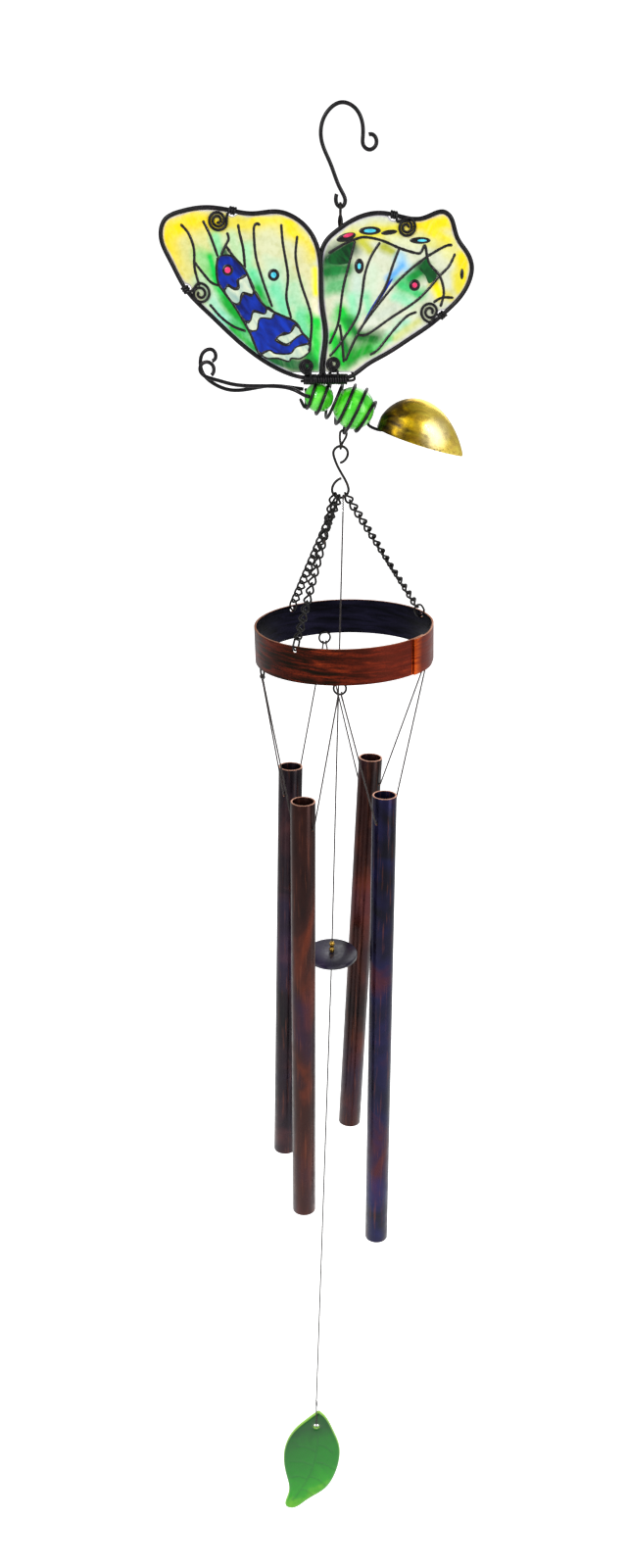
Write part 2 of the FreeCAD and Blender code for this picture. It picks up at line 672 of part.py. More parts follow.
def cord_seat(eyelet, towards):
    """Centre of the eyelet wire where a cord is tied, on the side nearer its tube."""
    centre = eyelet_centre(eyelet)
    tangent = direction(EYELET_ANGLES[eyelet] + 90)
    side = 1 if (towards - centre).dot(tangent) > 0 else -1
    a = math.radians(CORD_SPREAD)
    return centre + tangent * (side * EYELET_RADIUS * math.sin(a)) - V(0, 0, EYELET_RADIUS * math.cos(a))


def cord_seats(name):
    first, second, top, _, _ = TUBES[name]
    return cord_seat(first, top), cord_seat(second, top)


def cross_direction(name):
    """Along the cross hole, from the first eyelet's side to the second's."""
    a, b = cord_seats(name)
    across = V(b.x - a.x, b.y - a.y, 0).normalize()
    down = tube_down(name)
    return (across - down * across.dot(down)).normalize()


def tube(name):
    _, _, top, length, _ = TUBES[name]
    down = tube_down(name)
    body = Part.makeCylinder(TUBE_RADIUS, length, top, down)
    bore = Part.makeCylinder(TUBE_RADIUS - TUBE_WALL, length + 2, top - down, down)
    across = cross_direction(name)
    hole = Part.makeCylinder(TUBE_HOLE_RADIUS, 40, tube_pivot(name) - across * 20, across)
    return body.cut(bore).cut(hole)


def tube_cord(name):
    """One cord: tied to an eyelet, down through the tube's cross hole and up to the next eyelet."""
    first, second = TUBES[name][:2]
    across = cross_direction(name)
    pivot = tube_pivot(name)
    reach = TUBE_RADIUS + CORD_STANDOFF
    corners = [pivot - across * reach, pivot + across * reach]
    ties, knot_ends = [], []
    for eyelet, seat, corner in zip((first, second), cord_seats(name), corners):
        down = (corner - seat).normalize()
        loop = Part.makeTorus(CORD_LOOP_RADIUS, CORD / 2, seat, direction(EYELET_ANGLES[eyelet] + 90))
        top = seat + V(0, 0, -CORD_LOOP_RADIUS - 0.05)
        end = top + down * KNOT_LENGTH
        ties += [loop, knot(top, end, KNOT_RADIUS)]
        knot_ends.append(end - down * 0.4)
    line = cord_path([knot_ends[0]] + corners + [knot_ends[1]], CORD)
    return line.multiFuse(ties)


# ---- striker ---------------------------------------------------------------------------
def striker_hang():
    return s_hook_seat("cord")


def striker_loop():
    """The cord's loop round the S-hook, and the knot under it."""
    seat = striker_hang()
    loop = Part.makeTorus(STRIKER_LOOP_RADIUS, CORD / 2, seat - V(0, 0, 0.15), X_AXIS)
    top, bottom = V(seat.x, seat.y, STRIKER_KNOT_TOP), V(seat.x, seat.y, STRIKER_KNOT_BOTTOM)
    return loop.fuse(knot(top, bottom, KNOT_RADIUS))


def striker_line():
    """Start of the striker cord, and the point where it leaves the disc."""
    seat = striker_hang()
    return V(seat.x, seat.y, STRIKER_KNOT_BOTTOM - 0.1), STRIKER_CENTRE


def striker_cord():
    top, centre = striker_line()
    down = (centre - top).normalize()
    end = centre + down * (STRIKER_THICKNESS / 2 + 0.6)
    line = straight(top, end + down * 0.5, CORD)
    return line.fuse(knot(end, end + down * 2.6, 1.3))


def striker_disc():
    tilt = FreeCAD.Rotation(X_AXIS, STRIKER_TILT)
    half, rim = STRIKER_THICKNESS / 2, STRIKER_RADIUS
    disc = Part.makeCylinder(rim, STRIKER_THICKNESS, V(0, 0, -half))
    disc = disc.makeChamfer(0.3, [e for e in disc.Edges if isinstance(e.Curve, Part.Circle)])
    disc = disc.cut(Part.makeCylinder(STRIKER_HOLE_RADIUS, 10, V(0, 0, -5)))
    return disc.transformed(FreeCAD.Placement(STRIKER_CENTRE, tilt).toMatrix(), True)


def striker_crimp():
    """A pinched brass crimp on the cord just above the disc."""
    top, centre = striker_line()
    down = (centre - top).normalize()
    low = centre - down * (STRIKER_THICKNESS / 2 + 0.45)
    r = CRIMP_RADIUS
    profile = [(0, 0.8 * r), (0.7, r), (1.9, 0.95 * r), (2.9, 0.72 * r), (3.9, 0.95 * r),
               (5.2, r), (CRIMP_LENGTH, 0.7 * r)]
    body = turned_solid(profile, low, -down)
    bore = straight(low + down * 2, low - down * 10, CORD + 0.04)
    return body.cut(bore)


# ---- leaf ------------------------------------------------------------------------------
def leaf_cord_ends():
    top, centre = striker_line()
    down = (centre - top).normalize()
    start = centre + down * (STRIKER_THICKNESS / 2 + 3.4)
    return start, V(TIE_X, start.y, TIE_KNOT_TOP + 0.1)


def leaf_cord():
    start, end = leaf_cord_ends()
    return straight(start, end, CORD)


def leaf_tie():
    """A knot, and the loop that passes through the hole in the leaf."""
    x, out = TIE_X, LEAF_THICKNESS / 2 + CORD / 2 + 0.25
    lump = knot(V(x, 0, TIE_KNOT_TOP), V(x, 0, TIE_KNOT_BOTTOM - 0.3), 1.0)
    low = LEAF_HOLE.z
    points = [(x, 0, TIE_KNOT_BOTTOM), (x, -out * 0.95, -748.4), (x, -out, -752.5), (x, -out, -758.0),
              (x, -out * 0.75, low + 0.2), (x, 0, low - 0.1), (x, out * 0.75, low + 0.2),
              (x, out, -758.0), (x, out, -752.5), (x, out * 0.95, -748.4)]
    return lump.fuse(closed_rod(points, CORD))


def leaf():
    curve = spline(flat(LEAF_OUTLINE, -LEAF_THICKNESS / 2), closed=True)
    plate = Part.Face(Part.Wire([curve.toShape()])).extrude(V(0, LEAF_THICKNESS, 0))
    edges = [e for e in plate.Edges if e.Length > 50]
    plate = plate.makeFillet(LEAF_EDGE, edges)
    return plate.cut(Part.makeCylinder(LEAF_HOLE_RADIUS, 20, LEAF_HOLE - Y_AXIS * 10, Y_AXIS))


# ---- all parts -------------------------------------------------------------------------
def all_parts():
    left, right = WING_DEPTH - WING_OFFSET, WING_DEPTH + WING_OFFSET
    parts = {"hanging_hook": hanging_hook(),
             "hanger_wire": hanger_wire(),
             "left_wing_frame": wing_frame(LEFT_WING, left),
             "left_wing_glass": wing_glass(LEFT_WING, left, [c[3] for c in LEFT_CLIPS.values()]),
             "right_wing_frame": wing_frame(RIGHT_WING, right),
             "right_wing_glass": wing_glass(RIGHT_WING, right, [c[3] for c in RIGHT_CLIPS.values()]),
             "left_root_clip": root_clip(LEFT_ROOT_SPIRAL, left),
             "right_root_clip": root_clip(RIGHT_ROOT_SPIRAL, right),
             "root_binding": root_binding()}
    for name in LEFT_CLIPS:
        parts["left_" + name + "_clip"] = wing_clip(LEFT_CLIPS[name], LEFT_WING, left)
        parts["right_" + name + "_clip"] = wing_clip(RIGHT_CLIPS[name], RIGHT_WING, right)
    along = body_axis()[0]
    parts["thorax_bead"] = bead(THORAX_CENTRE, THORAX_RADIUS)
    parts["abdomen_bead"] = bead(THORAX_CENTRE + along * bead_distance(), ABDOMEN_RADIUS)
    parts["body_coil"] = body_coil()
    parts["front_antenna"] = front_antenna()
    parts["rear_antenna"] = rear_antenna()
    parts["head_loop"] = head_loop()
    parts["tail_shell"] = tail_shell()
    parts["hanging_link"] = hanging_link()
    parts["s_hook"] = s_hook()
    for name in CHAIN_ANGLES:
        parts["chain_" + name] = chain(name)
    parts["chain_end_links"] = end_links()
    parts["ring_band"] = ring_band()
    parts["ring_eyelets"] = eyelets()
    for name in TUBES:
        parts["cord_" + name] = tube_cord(name)
        parts["tube_" + name] = tube(name)
    parts["striker_loop"] = striker_loop()
    parts["striker_cord"] = striker_cord()
    parts["striker_crimp"] = striker_crimp()
    parts["striker_disc"] = striker_disc()
    parts["leaf_cord"] = leaf_cord()
    parts["leaf_tie"] = leaf_tie()
    parts["glass_leaf"] = leaf()
    return parts


def main():
    os.makedirs("parts", exist_ok=True)
    for name, shape in all_parts().items():
        shape.exportStep("parts/" + name + ".step")


if __name__ == "__main__":
    main()
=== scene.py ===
import json
import math

import bmesh
import bpy
import numpy as np
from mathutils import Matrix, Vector, kdtree, noise
from mathutils.geometry import delaunay_2d_cdt


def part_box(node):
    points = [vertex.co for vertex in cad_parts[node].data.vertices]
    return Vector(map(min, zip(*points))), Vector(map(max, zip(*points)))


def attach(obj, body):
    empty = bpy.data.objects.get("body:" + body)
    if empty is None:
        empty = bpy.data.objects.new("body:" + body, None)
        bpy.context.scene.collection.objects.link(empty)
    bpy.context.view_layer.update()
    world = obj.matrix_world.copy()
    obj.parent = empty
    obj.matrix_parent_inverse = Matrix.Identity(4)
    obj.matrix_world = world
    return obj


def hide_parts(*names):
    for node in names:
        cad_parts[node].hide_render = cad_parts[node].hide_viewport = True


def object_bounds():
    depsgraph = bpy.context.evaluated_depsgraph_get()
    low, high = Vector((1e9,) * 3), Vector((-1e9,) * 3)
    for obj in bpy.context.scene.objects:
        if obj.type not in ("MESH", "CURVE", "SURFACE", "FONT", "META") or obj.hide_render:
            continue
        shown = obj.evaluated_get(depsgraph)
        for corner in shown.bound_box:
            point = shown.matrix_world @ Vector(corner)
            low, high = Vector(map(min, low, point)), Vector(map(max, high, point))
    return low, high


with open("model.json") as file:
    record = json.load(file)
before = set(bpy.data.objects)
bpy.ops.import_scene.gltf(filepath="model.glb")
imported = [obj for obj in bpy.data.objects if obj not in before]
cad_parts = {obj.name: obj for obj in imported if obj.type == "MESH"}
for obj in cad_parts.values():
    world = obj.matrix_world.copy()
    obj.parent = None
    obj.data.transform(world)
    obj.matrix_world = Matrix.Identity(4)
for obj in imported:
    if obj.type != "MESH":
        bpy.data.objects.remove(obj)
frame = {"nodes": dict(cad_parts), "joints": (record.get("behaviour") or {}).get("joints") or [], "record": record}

CAD_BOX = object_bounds()
NODES = frame["nodes"]
JOINTS = {j["name"]: j for j in frame["joints"]}
BODY_OF = {n: b for b, ns in frame["record"]["behaviour"]["bodies"].items() for n in ns}
MM = 0.001
CORD = 0.43 * MM               # radius of a cord
LINE = 1.25 * MM               # width of a drawn line on a wing
PATCH_LINE = 0.9 * MM          # width of the line round a blue or white patch
GLASS_EDGE = 0.5 * MM          # width of the rounded edge of a wing's glass
TAIL_SLOPE = math.radians(18.3)
RING_SLOPE = -0.026            # radians, the lean of the streaks along the ring
FRAME_COAT, CLIP_COAT, LINK_COAT = 0.2 * MM, 0.16 * MM, 0.08 * MM


# ---- materials ---------------------------------------------------------------------------
def tint(code):
    """A linear colour from six hexadecimal digits."""
    parts = [int(code[k:k + 2], 16) / 255 for k in (0, 2, 4)]
    return [p / 12.92 if p <= 0.04045 else ((p + 0.055) / 1.055) ** 2.4 for p in parts]


class Look:
    """A node material built round one Principled shader."""

    def __init__(self, name, **settings):
        self.material = bpy.data.materials.new(name)
        self.material.use_nodes = True
        self.tree = self.material.node_tree
        self.shader = self.tree.nodes["Principled BSDF"]
        place = self.node("TexCoord")
        self.position = place.outputs["Object"]
        self.normal = place.outputs["Normal"]
        for key, value in settings.items():
            self.put(self.shader.inputs[key.replace("_", " ")], value)

    def put(self, socket, value):
        if isinstance(value, bpy.types.NodeSocket):
            self.tree.links.new(value, socket)
        else:
            socket.default_value = value

    def node(self, kind, **inputs):
        made = self.tree.nodes.new("ShaderNode" + kind)
        for key, value in inputs.items():
            if key[0].islower():
                setattr(made, key, value)
            else:
                self.put(made.inputs[key.replace("_", " ")], value)
        return made

    def noise(self, scale, detail=3.0, stretch=(1, 1, 1), turn=(0, 0, 0), warp=0.0):
        """Noise with this many lumps to the metre, stretched along the axes."""
        mapped = self.node("Mapping", Vector=self.position, Rotation=turn).outputs[0]
        mapped = self.node("Mapping", Vector=mapped, Scale=stretch).outputs[0]
        made = self.node("TexNoise", Vector=mapped, Scale=scale, Detail=detail, Distortion=warp)
        return made.outputs[0]

    def ramp(self, value, stops):
        made = self.node("ValToRGB", Fac=value)
        band = made.color_ramp.elements
        band.remove(band[1])
        band[0].position = stops[0][0]
        for place, _ in stops[1:]:
            band.new(place)
        for element, (_, colour) in zip(band, stops):
            element.color = (*colour, 1)
        return made.outputs[0]

    def span(self, value, low, high, start=0.3, end=0.7):
        made = self.node("MapRange", Value=value)
        for key, number in (("From Min", start), ("From Max", end), ("To Min", low), ("To Max", high)):
            made.inputs[key].default_value = number
        return made.outputs[0]

    def mix(self, factor, a, b, kind="MIX"):
        made = self.node("Mix", data_type="RGBA", blend_type=kind)
        for index, value in ((0, factor), (6, a), (7, b)):
            if index and not isinstance(value, bpy.types.NodeSocket):
                value = (*value, 1)
            self.put(made.inputs[index], value)
        return made.outputs[2]

    def math(self, kind, a, b=0.0):
        made = self.node("Math", operation=kind)
        self.put(made.inputs[0], a)
        self.put(made.inputs[1], b)
        return made.outputs[0]

    def axis(self, name, source=None):
        split = self.node("SeparateXYZ", Vector=source or self.position)
        return split.outputs[name]

    def attribute(self, name):
        return self.node("Attribute", attribute_name=name)

    def use(self, colour=None, rough=None, bump=None, depth=0.02):
        """Colour, roughness, and a bump of this many millimetres."""
        if colour is not None:
            self.put(self.shader.inputs["Base Color"], colour)
        if rough is not None:
            self.put(self.shader.inputs["Roughness"], rough)
        if bump is not None:
            made = self.node("Bump", Height=bump, Strength=1.0, Distance=depth * MM)
            self.put(self.shader.inputs["Normal"], made.outputs[0])
        return self.material


def painted_wire(name, dark, light, worn):
    look = Look(name, Coat_Weight=0.1, Coat_Roughness=0.12, Specular_IOR_Level=0.25)
    patches = look.noise(350, 4)
    colour = look.ramp(patches, [(0.35, tint(dark)), (0.62, tint(light)), (0.74, tint(worn))])
    runs = look.noise(1600, 3)
    return look.use(colour, look.span(look.noise(700), 0.22, 0.48), runs, 0.03)


def bead_glass():
    look = Look("bead_glass", IOR=1.5, Coat_Weight=1.0, Coat_Roughness=0.03)
    swirl = look.noise(110, 3, warp=1.2)
    colour = look.ramp(swirl, [(0.34, tint("2cc410")), (0.55, tint("4fde28")), (0.75, tint("8ef46a"))])
    # painted shade: the green darkens towards the bead's outline, where the surface turns away from the camera
    edge = look.node("LayerWeight", Blend=0.35).outputs["Facing"]
    colour = look.mix(look.span(edge, 0.0, 0.75, 0.35, 1.0), colour, tint("0c7a1e"))
    return look.use(colour, look.span(look.noise(400), 0.04, 0.12), look.noise(200, 2), 0.02)


def wing_paint(name, seed):
    """Transparent paint on glass: the brushed colours are on the mesh, and streaks run through them."""
    look = Look(name, Specular_IOR_Level=0.35, Coat_Weight=0.3, Coat_Roughness=0.06)
    base = look.attribute("paint").outputs["Color"]
    streaks = look.noise(260, 5, (1.0, 1.0, 0.22), (0, seed, 0), 0.6)
    light = look.mix(look.span(streaks, 0.0, 0.18, 0.52, 0.8), base, tint("eef0dc"))
    colour = look.mix(look.span(look.noise(520, 4), 0.15, 0.6, 0.4, 0.75), light, base, "MULTIPLY")
    return look.use(colour, look.span(look.noise(300), 0.07, 0.2), look.noise(170, 2), 0.18)


def enamel(name, dark, light, rough=0.12):
    look = Look(name, Specular_IOR_Level=0.3, Coat_Weight=0.25, Coat_Roughness=0.08)
    brushed = look.noise(330, 4, (1, 1, 0.4), (0, 0.6, 0), 0.5)
    colour = look.ramp(brushed, [(0.32, tint(dark)), (0.68, tint(light))])
    return look.use(colour, look.span(look.noise(600), rough, rough + 0.12), look.noise(420, 3), 0.08)


def tail_metal():
    """Brushed gold sheet, darkened towards the body and speckled along its rim, with painted highlights: paler
    towards the right end, and a near-white patch standing in for a lamp's reflection.
    """
    look = Look("tail_metal", Metallic=0.85, Specular_IOR_Level=0.6)
    low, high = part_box("tail_shell")
    turn = (0, -TAIL_SLOPE, 0)
    brushed = look.noise(420, 5, (0.12, 1, 1), turn)
    gold = look.ramp(brushed, [(0.3, tint("c69402")), (0.5, tint("eec000")), (0.7, tint("fde230"))])
    along = look.span(look.axis("X"), 0.0, 1.0, low.x, high.x)
    # painted highlight: the gold turns paler towards the right end of the shell
    gold = look.mix(look.span(along, 0.0, 0.4, 0.38, 0.6), gold, tint("fff08c"))
    # painted highlight: a near-white patch round a point right of the middle, in place of a lamp's reflection
    painted_highlight = look.node("VectorMath", operation="DISTANCE")
    look.put(painted_highlight.inputs[0], look.position)
    painted_highlight.inputs[1].default_value = low.lerp(high, 0.5) + Vector((4, -4, -3)) * MM
    gold = look.mix(look.span(painted_highlight.outputs["Value"], 0.9, 0.0, 4 * MM, 10.5 * MM), gold, tint("fffce4"))
    patches = look.noise(190, 5, (0.35, 1, 1), turn, 0.8)
    reach = look.math("ADD", look.math("MULTIPLY", along, 1.0), look.math("MULTIPLY", patches, 0.9))
    dark = look.ramp(reach, [(0.52, (1, 1, 1)), (0.68, (0.85,) * 3), (0.86, (0.4,) * 3), (1.04, (0, 0, 0))])
    colour = look.mix(dark, gold, tint("2b2008"))
    height = look.math("ADD", look.axis("Z"), look.math("MULTIPLY", look.axis("X"), math.tan(TAIL_SLOPE)))
    base = low.z + high.x * math.tan(TAIL_SLOPE)
    rim = look.span(height, 1.0, 0.0, base + 0.2 * MM, base + 3.2 * MM)
    specks = look.span(look.noise(1500, 2, (0.4, 1, 1), turn), 0.0, 1.0, 0.55, 0.66)
    colour = look.mix(look.math("MULTIPLY", rim, specks), colour, tint("231a05"))
    rough = look.span(look.noise(500), 0.2, 0.36)
    return look.use(colour, rough, look.noise(2600, 2, (0.05, 1, 1), turn), 0.015)


def ring_metal():
    """Flame-coloured copper outside, streaked along the strip; nearly black inside."""
    look = Look("ring_metal", Metallic=0.92)
    low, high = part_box("ring_band")
    middle = (low + high) / 2
    centred = look.node("VectorMath", operation="SUBTRACT")
    look.put(centred.inputs[0], look.position)
    centred.inputs[1].default_value = (middle.x, middle.y, middle.z)
    away = look.node("VectorMath", operation="DOT_PRODUCT")
    look.put(away.inputs[0], centred.outputs[0])
    look.put(away.inputs[1], look.normal)
    outside = look.span(away.outputs["Value"], 0.0, 1.0, -0.002, 0.002)
    streaks = look.noise(60, 6, (1, 1, 9), (0, RING_SLOPE, 0), 0.7)
    fine = look.noise(90, 3, (1, 1, 30), (0, RING_SLOPE, 0))
    both = look.math("ADD", look.math("MULTIPLY", streaks, 0.7), look.math("MULTIPLY", fine, 0.3))
    copper = look.ramp(both, [(0.40, tint("1a140b")), (0.50, tint("43190f")), (0.60, tint("742814")),
                              (0.76, tint("b2461f"))])
    specks = look.span(look.noise(900, 3, (1, 1, 2)), 0.0, 0.7, 0.52, 0.66)
    copper = look.mix(specks, copper, tint("1d0c0a"))
    across = look.axis("X")
    redder = look.span(across, 0.0, 0.5, middle.x - 5 * MM, middle.x + 40 * MM)
    copper = look.mix(redder, copper, tint("9c3826"))
    strip = look.math("MULTIPLY", look.span(across, 0.0, 0.9, middle.x + 32.0 * MM, middle.x + 32.6 * MM),
                      look.span(across, 1.0, 0.0, middle.x + 35.0 * MM, middle.x + 37.5 * MM))
    copper = look.mix(strip, copper, look.ramp(both, [(0.4, tint("a8360e")), (0.6, tint("f06a1e"))]))
    inner = look.ramp(streaks, [(0.35, tint("07070f")), (0.65, tint("1c1a2e"))])
    flat = look.span(look.math("ABSOLUTE", look.axis("Z", look.normal)), 0.0, 1.0, 0.6, 0.9)
    colour = look.mix(flat, look.mix(outside, inner, copper), tint("9a5e38"))
    return look.use(colour, look.span(fine, 0.25, 0.5), fine, 0.03)


def tube_metal(name, dark, middle, warm, blue, seed):
    """Dark coating with copper showing through in long blotches and a blue bloom."""
    look = Look("tube_" + name, Metallic=0.85, Coat_Weight=0.25, Coat_Roughness=0.2)
    long = look.noise(30, 4, (1, 1, 0.32), (seed, 0, 0), 0.6)
    colour = look.ramp(long, [(0.34, tint(dark)), (0.5, tint(middle)), (0.66, tint(warm))])
    bloom = look.span(look.noise(22, 3, (1, 1, 0.6), (0, seed, 0)), 0.0, 0.8, 0.52, 0.7)
    colour = look.mix(bloom, colour, tint(blue))
    scuffs = look.span(look.noise(900, 3, (1, 1, 0.06)), 0.0, 0.35, 0.58, 0.75)
    colour = look.mix(scuffs, colour, tint("8a4a30"))
    end = look.span(look.math("ABSOLUTE", look.axis("Z", look.normal)), 0.0, 1.0, 0.3, 0.7)
    colour = look.mix(end, colour, tint("c98f74"))
    return look.use(colour, look.span(look.noise(160), 0.22, 0.42), look.noise(1200, 2, (1, 1, 0.1)), 0.01)


def cord_fibre(name, dark, light):
    look = Look(name, Sheen_Weight=0.3)
    fibres = look.noise(2600, 4, (1, 1, 0.35), (0.5, 0.3, 0))
    colour = look.ramp(fibres, [(0.3, tint(dark)), (0.7, tint(light))])
    return look.use(colour, look.span(look.noise(900), 0.7, 0.95), fibres, 0.06)


def striker_paint():
    look = Look("striker", Coat_Weight=0.3, Coat_Roughness=0.25)
    grain = look.noise(120, 5, (1, 0.15, 1), (0, 0, 0.4), 0.4)
    colour = look.ramp(grain, [(0.32, tint("0d0a1c")), (0.55, tint("1f1538")), (0.72, tint("3c2652"))])
    return look.use(colour, look.span(look.noise(500), 0.3, 0.55), look.noise(1100, 3), 0.03)


def crimp_metal():
    look = Look("crimp_metal", Metallic=1.0)
    tarnish = look.noise(900, 4)
    colour = look.ramp(tarnish, [(0.35, tint("a8741c")), (0.5, tint("e8b84a")), (0.65, tint("fff0b0"))])
    return look.use(colour, look.span(tarnish, 0.18, 0.4), look.noise(1500, 2), 0.04)


def leaf_glass():
    look = Look("leaf_glass", Specular_IOR_Level=0.35, Coat_Weight=0.35, Coat_Roughness=0.06)
    low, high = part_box("glass_leaf")
    clouds = look.noise(70, 4, (1, 1, 1), (0, 0, 0), 0.8)
    rise = look.span(look.axis("Z"), 0.0, 1.0, low.z, high.z)
    lean = look.span(look.axis("X"), 0.12, -0.12, low.x, high.x)
    mixed = look.math("ADD", look.math("ADD", rise, lean), look.math("MULTIPLY", clouds, 0.3))
    colour = look.ramp(mixed, [(0.22, tint("6cb808")), (0.36, tint("1c9606")), (0.6, tint("027c0c")),
                               (0.85, tint("016c0c")), (1.0, tint("015012"))])
    veins = look.attribute("vein").outputs["Fac"]
    colour = look.mix(look.math("MULTIPLY", veins, 0.55), colour, tint("05521a"))
    # painted light: the thin domed rim is painted pale lime, as if lit through the glass
    painted_rim_light = look.attribute("rim").outputs["Fac"]
    colour = look.mix(painted_rim_light, colour, tint("b6f36a"))
    return look.use(colour, look.span(look.noise(200), 0.06, 0.18), look.noise(150, 3), 0.2)


# ---- mesh tools --------------------------------------------------------------------------
def build(name, parts, material, body, smooth=True):
    """One object from a list of (vertices, faces), riding on a CAD body."""
    verts, faces, count = [], [], 0
    for points, polygons in parts:
        verts.extend([tuple(p) for p in points])
        faces.extend([tuple(i + count for i in f) for f in polygons])
        count += len(points)
    mesh = bpy.data.meshes.new(name)
    mesh.from_pydata(verts, [], faces)
    mesh.materials.append(material)
    made = bpy.data.objects.new(name, mesh)
    bpy.context.scene.collection.objects.link(made)
    mesh.validate()
    if smooth:
        mesh.polygons.foreach_set("use_smooth", [True] * len(mesh.polygons))
    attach(made, body)
    return made


def spaced(points, step, closed=False):
    """A smooth curve through the points, sampled about every step."""
    p = np.array(points, float)
    n = len(p)
    if closed:
        p = np.vstack([p[-1], p, p[0], p[1]])
    else:
        p = np.vstack([2 * p[0] - p[1], p, 2 * p[-1] - p[-2]])
    out = []
    for k in range(1, n + (1 if closed else 0)):
        a, b, c, d = p[k - 1], p[k], p[k + 1], p[k + 2]
        count = max(2, int(math.ceil(np.linalg.norm(c - b) / step)))
        for t in np.arange(count) / count:
            out.append(0.5 * (2 * b + (c - a) * t + (2 * a - 5 * b + 4 * c - d) * t ** 2
                              + (3 * b - a - 3 * c + d) * t ** 3))
    if not closed:
        out.append(p[-2])
    return np.array(out)


def evenly(points, step):
    """A closed loop of straight edges, sampled evenly."""
    p = np.vstack([points, points[:1]])
    lengths = np.concatenate([[0], np.cumsum(np.linalg.norm(np.diff(p, axis=0), axis=1))])
    count = max(12, int(lengths[-1] / step))
    places = np.linspace(0, lengths[-1], count, endpoint=False)
    return np.column_stack([np.interp(places, lengths, p[:, k]) for k in (0, 1)])


def grown(loop, distance):
    """A closed loop moved outwards."""
    even = evenly(loop, 0.6 * MM)
    along = np.roll(even, -1, axis=0) - np.roll(even, 1, axis=0)
    outward = np.column_stack([along[:, 1], -along[:, 0]]) / np.linalg.norm(along, axis=1)[:, None]
    x, z = even[:, 0], even[:, 1]
    if (x * np.roll(z, -1) - np.roll(x, -1) * z).sum() < 0:
        outward = -outward
    return even + outward * distance


def inside(points, loop):
    """Which points lie inside a closed loop."""
    x, z = points[:, 0][:, None], points[:, 1][:, None]
    a, b = loop, np.roll(loop, -1, axis=0)
    spans = (a[:, 1] > z) != (b[:, 1] > z)
    with np.errstate(divide="ignore", invalid="ignore"):
        crossing = a[:, 0] + (z - a[:, 1]) * (b[:, 0] - a[:, 0]) / (b[:, 1] - a[:, 1])
    return ((spans & (x < crossing)).sum(1) % 2) == 1


def slab(loop, y, half, rim, step, hole=None, wave=0.0, seed=0.0):
    """A plate with a rounded rim in a plane parallel to XZ, as (vertices, faces, distance inwards)."""
    edge = evenly(loop, step)
    fine = evenly(loop, step / 3)
    loops = [edge]
    if hole is not None:
        turn = np.linspace(0, 2 * math.pi, 28, endpoint=False)
        ring = np.column_stack([hole[0] + hole[2] * np.cos(turn), hole[1] + hole[2] * np.sin(turn)])
        loops.append(ring)
        fine = np.vstack([fine, ring])
    tree = kdtree.KDTree(len(fine))
    for k, p in enumerate(fine):
        tree.insert((p[0], p[1], 0), k)
    tree.balance()
    extra = []
    for closed in loops:
        along = np.roll(closed, -1, axis=0) - np.roll(closed, 1, axis=0)
        along /= np.linalg.norm(along, axis=1)[:, None]
        inward = np.column_stack([-along[:, 1], along[:, 0]])
        if not inside(closed[:1] + inward[:1] * rim * 0.3, loop)[0] or closed is not edge:
            inward = -inward
        for share in (0.1, 0.3, 0.6, 1.0):
            for p in closed + inward * rim * share:
                if tree.find((p[0], p[1], 0))[2] > rim * share * 0.9:
                    extra.append(p)
    low, high = loop.min(0), loop.max(0)
    rows = np.arange(low[1], high[1], step * 0.866)
    for k, z in enumerate(rows):
        for x in np.arange(low[0] + (k % 2) * step / 2, high[0], step):
            if tree.find((x, z, 0))[2] > rim * 1.2:
                extra.append((x, z))
    extra = np.array(extra)
    extra = extra[inside(extra, edge)]
    if hole is not None:
        far = np.hypot(extra[:, 0] - hole[0], extra[:, 1] - hole[1]) > hole[2]
        extra = extra[far]
    points, links = [], []
    for closed in loops:
        start = len(points)
        points.extend(closed)
        links.extend((start + k, start + (k + 1) % len(closed)) for k in range(len(closed)))
    border = len(points)
    points.extend(extra)
    # worked in millimetres, because the triangulation is not exact enough in metres
    flat = [Vector((p[0] / MM, p[1] / MM)) for p in points]
    verts, _, faces, origin, _, _ = delaunay_2d_cdt(flat, links, [], 1, 1e-5)
    verts = np.array([(v.x * MM, v.y * MM) for v in verts])
    on_edge = np.array([any(k < border for k in o) for o in origin])
    if hole is not None:
        keep = []
        for f in faces:
            c = verts[list(f)].mean(0)
            if math.hypot(c[0] - hole[0], c[1] - hole[1]) > hole[2] * 0.97:
                keep.append(f)
        faces = keep
    depth = np.array([tree.find((v[0], v[1], 0))[2] for v in verts])
    depth[on_edge] = 0.0
    grow = np.clip(depth / rim, 0, 1)
    rise = half * np.sqrt(np.clip(1 - (1 - grow) ** 2, 0, 1))
    lift = np.array([wave * noise.noise((v[0] * 60, v[1] * 60, seed)) for v in verts])
    front = [(v[0], y - r + w, v[1]) for v, r, w in zip(verts, rise, lift)]
    back, index = [], {}
    for k, (v, r, w) in enumerate(zip(verts, rise, lift)):
        if on_edge[k]:
            index[k] = k
        else:
            index[k] = len(front) + len(back)
            back.append((v[0], y + r + w, v[1]))
    polygons = []
    for f in faces:
        a, b, c = (verts[i] for i in f)
        turn = (b[0] - a[0]) * (c[1] - a[1]) - (b[1] - a[1]) * (c[0] - a[0])
        face = tuple(f) if turn > 0 else tuple(reversed(f))
        polygons.append(face)
        polygons.append(tuple(index[i] for i in reversed(face)))
    order = list(range(len(front))) + [k for k in range(len(verts)) if not on_edge[k]]
    return front + back, polygons, depth[order]


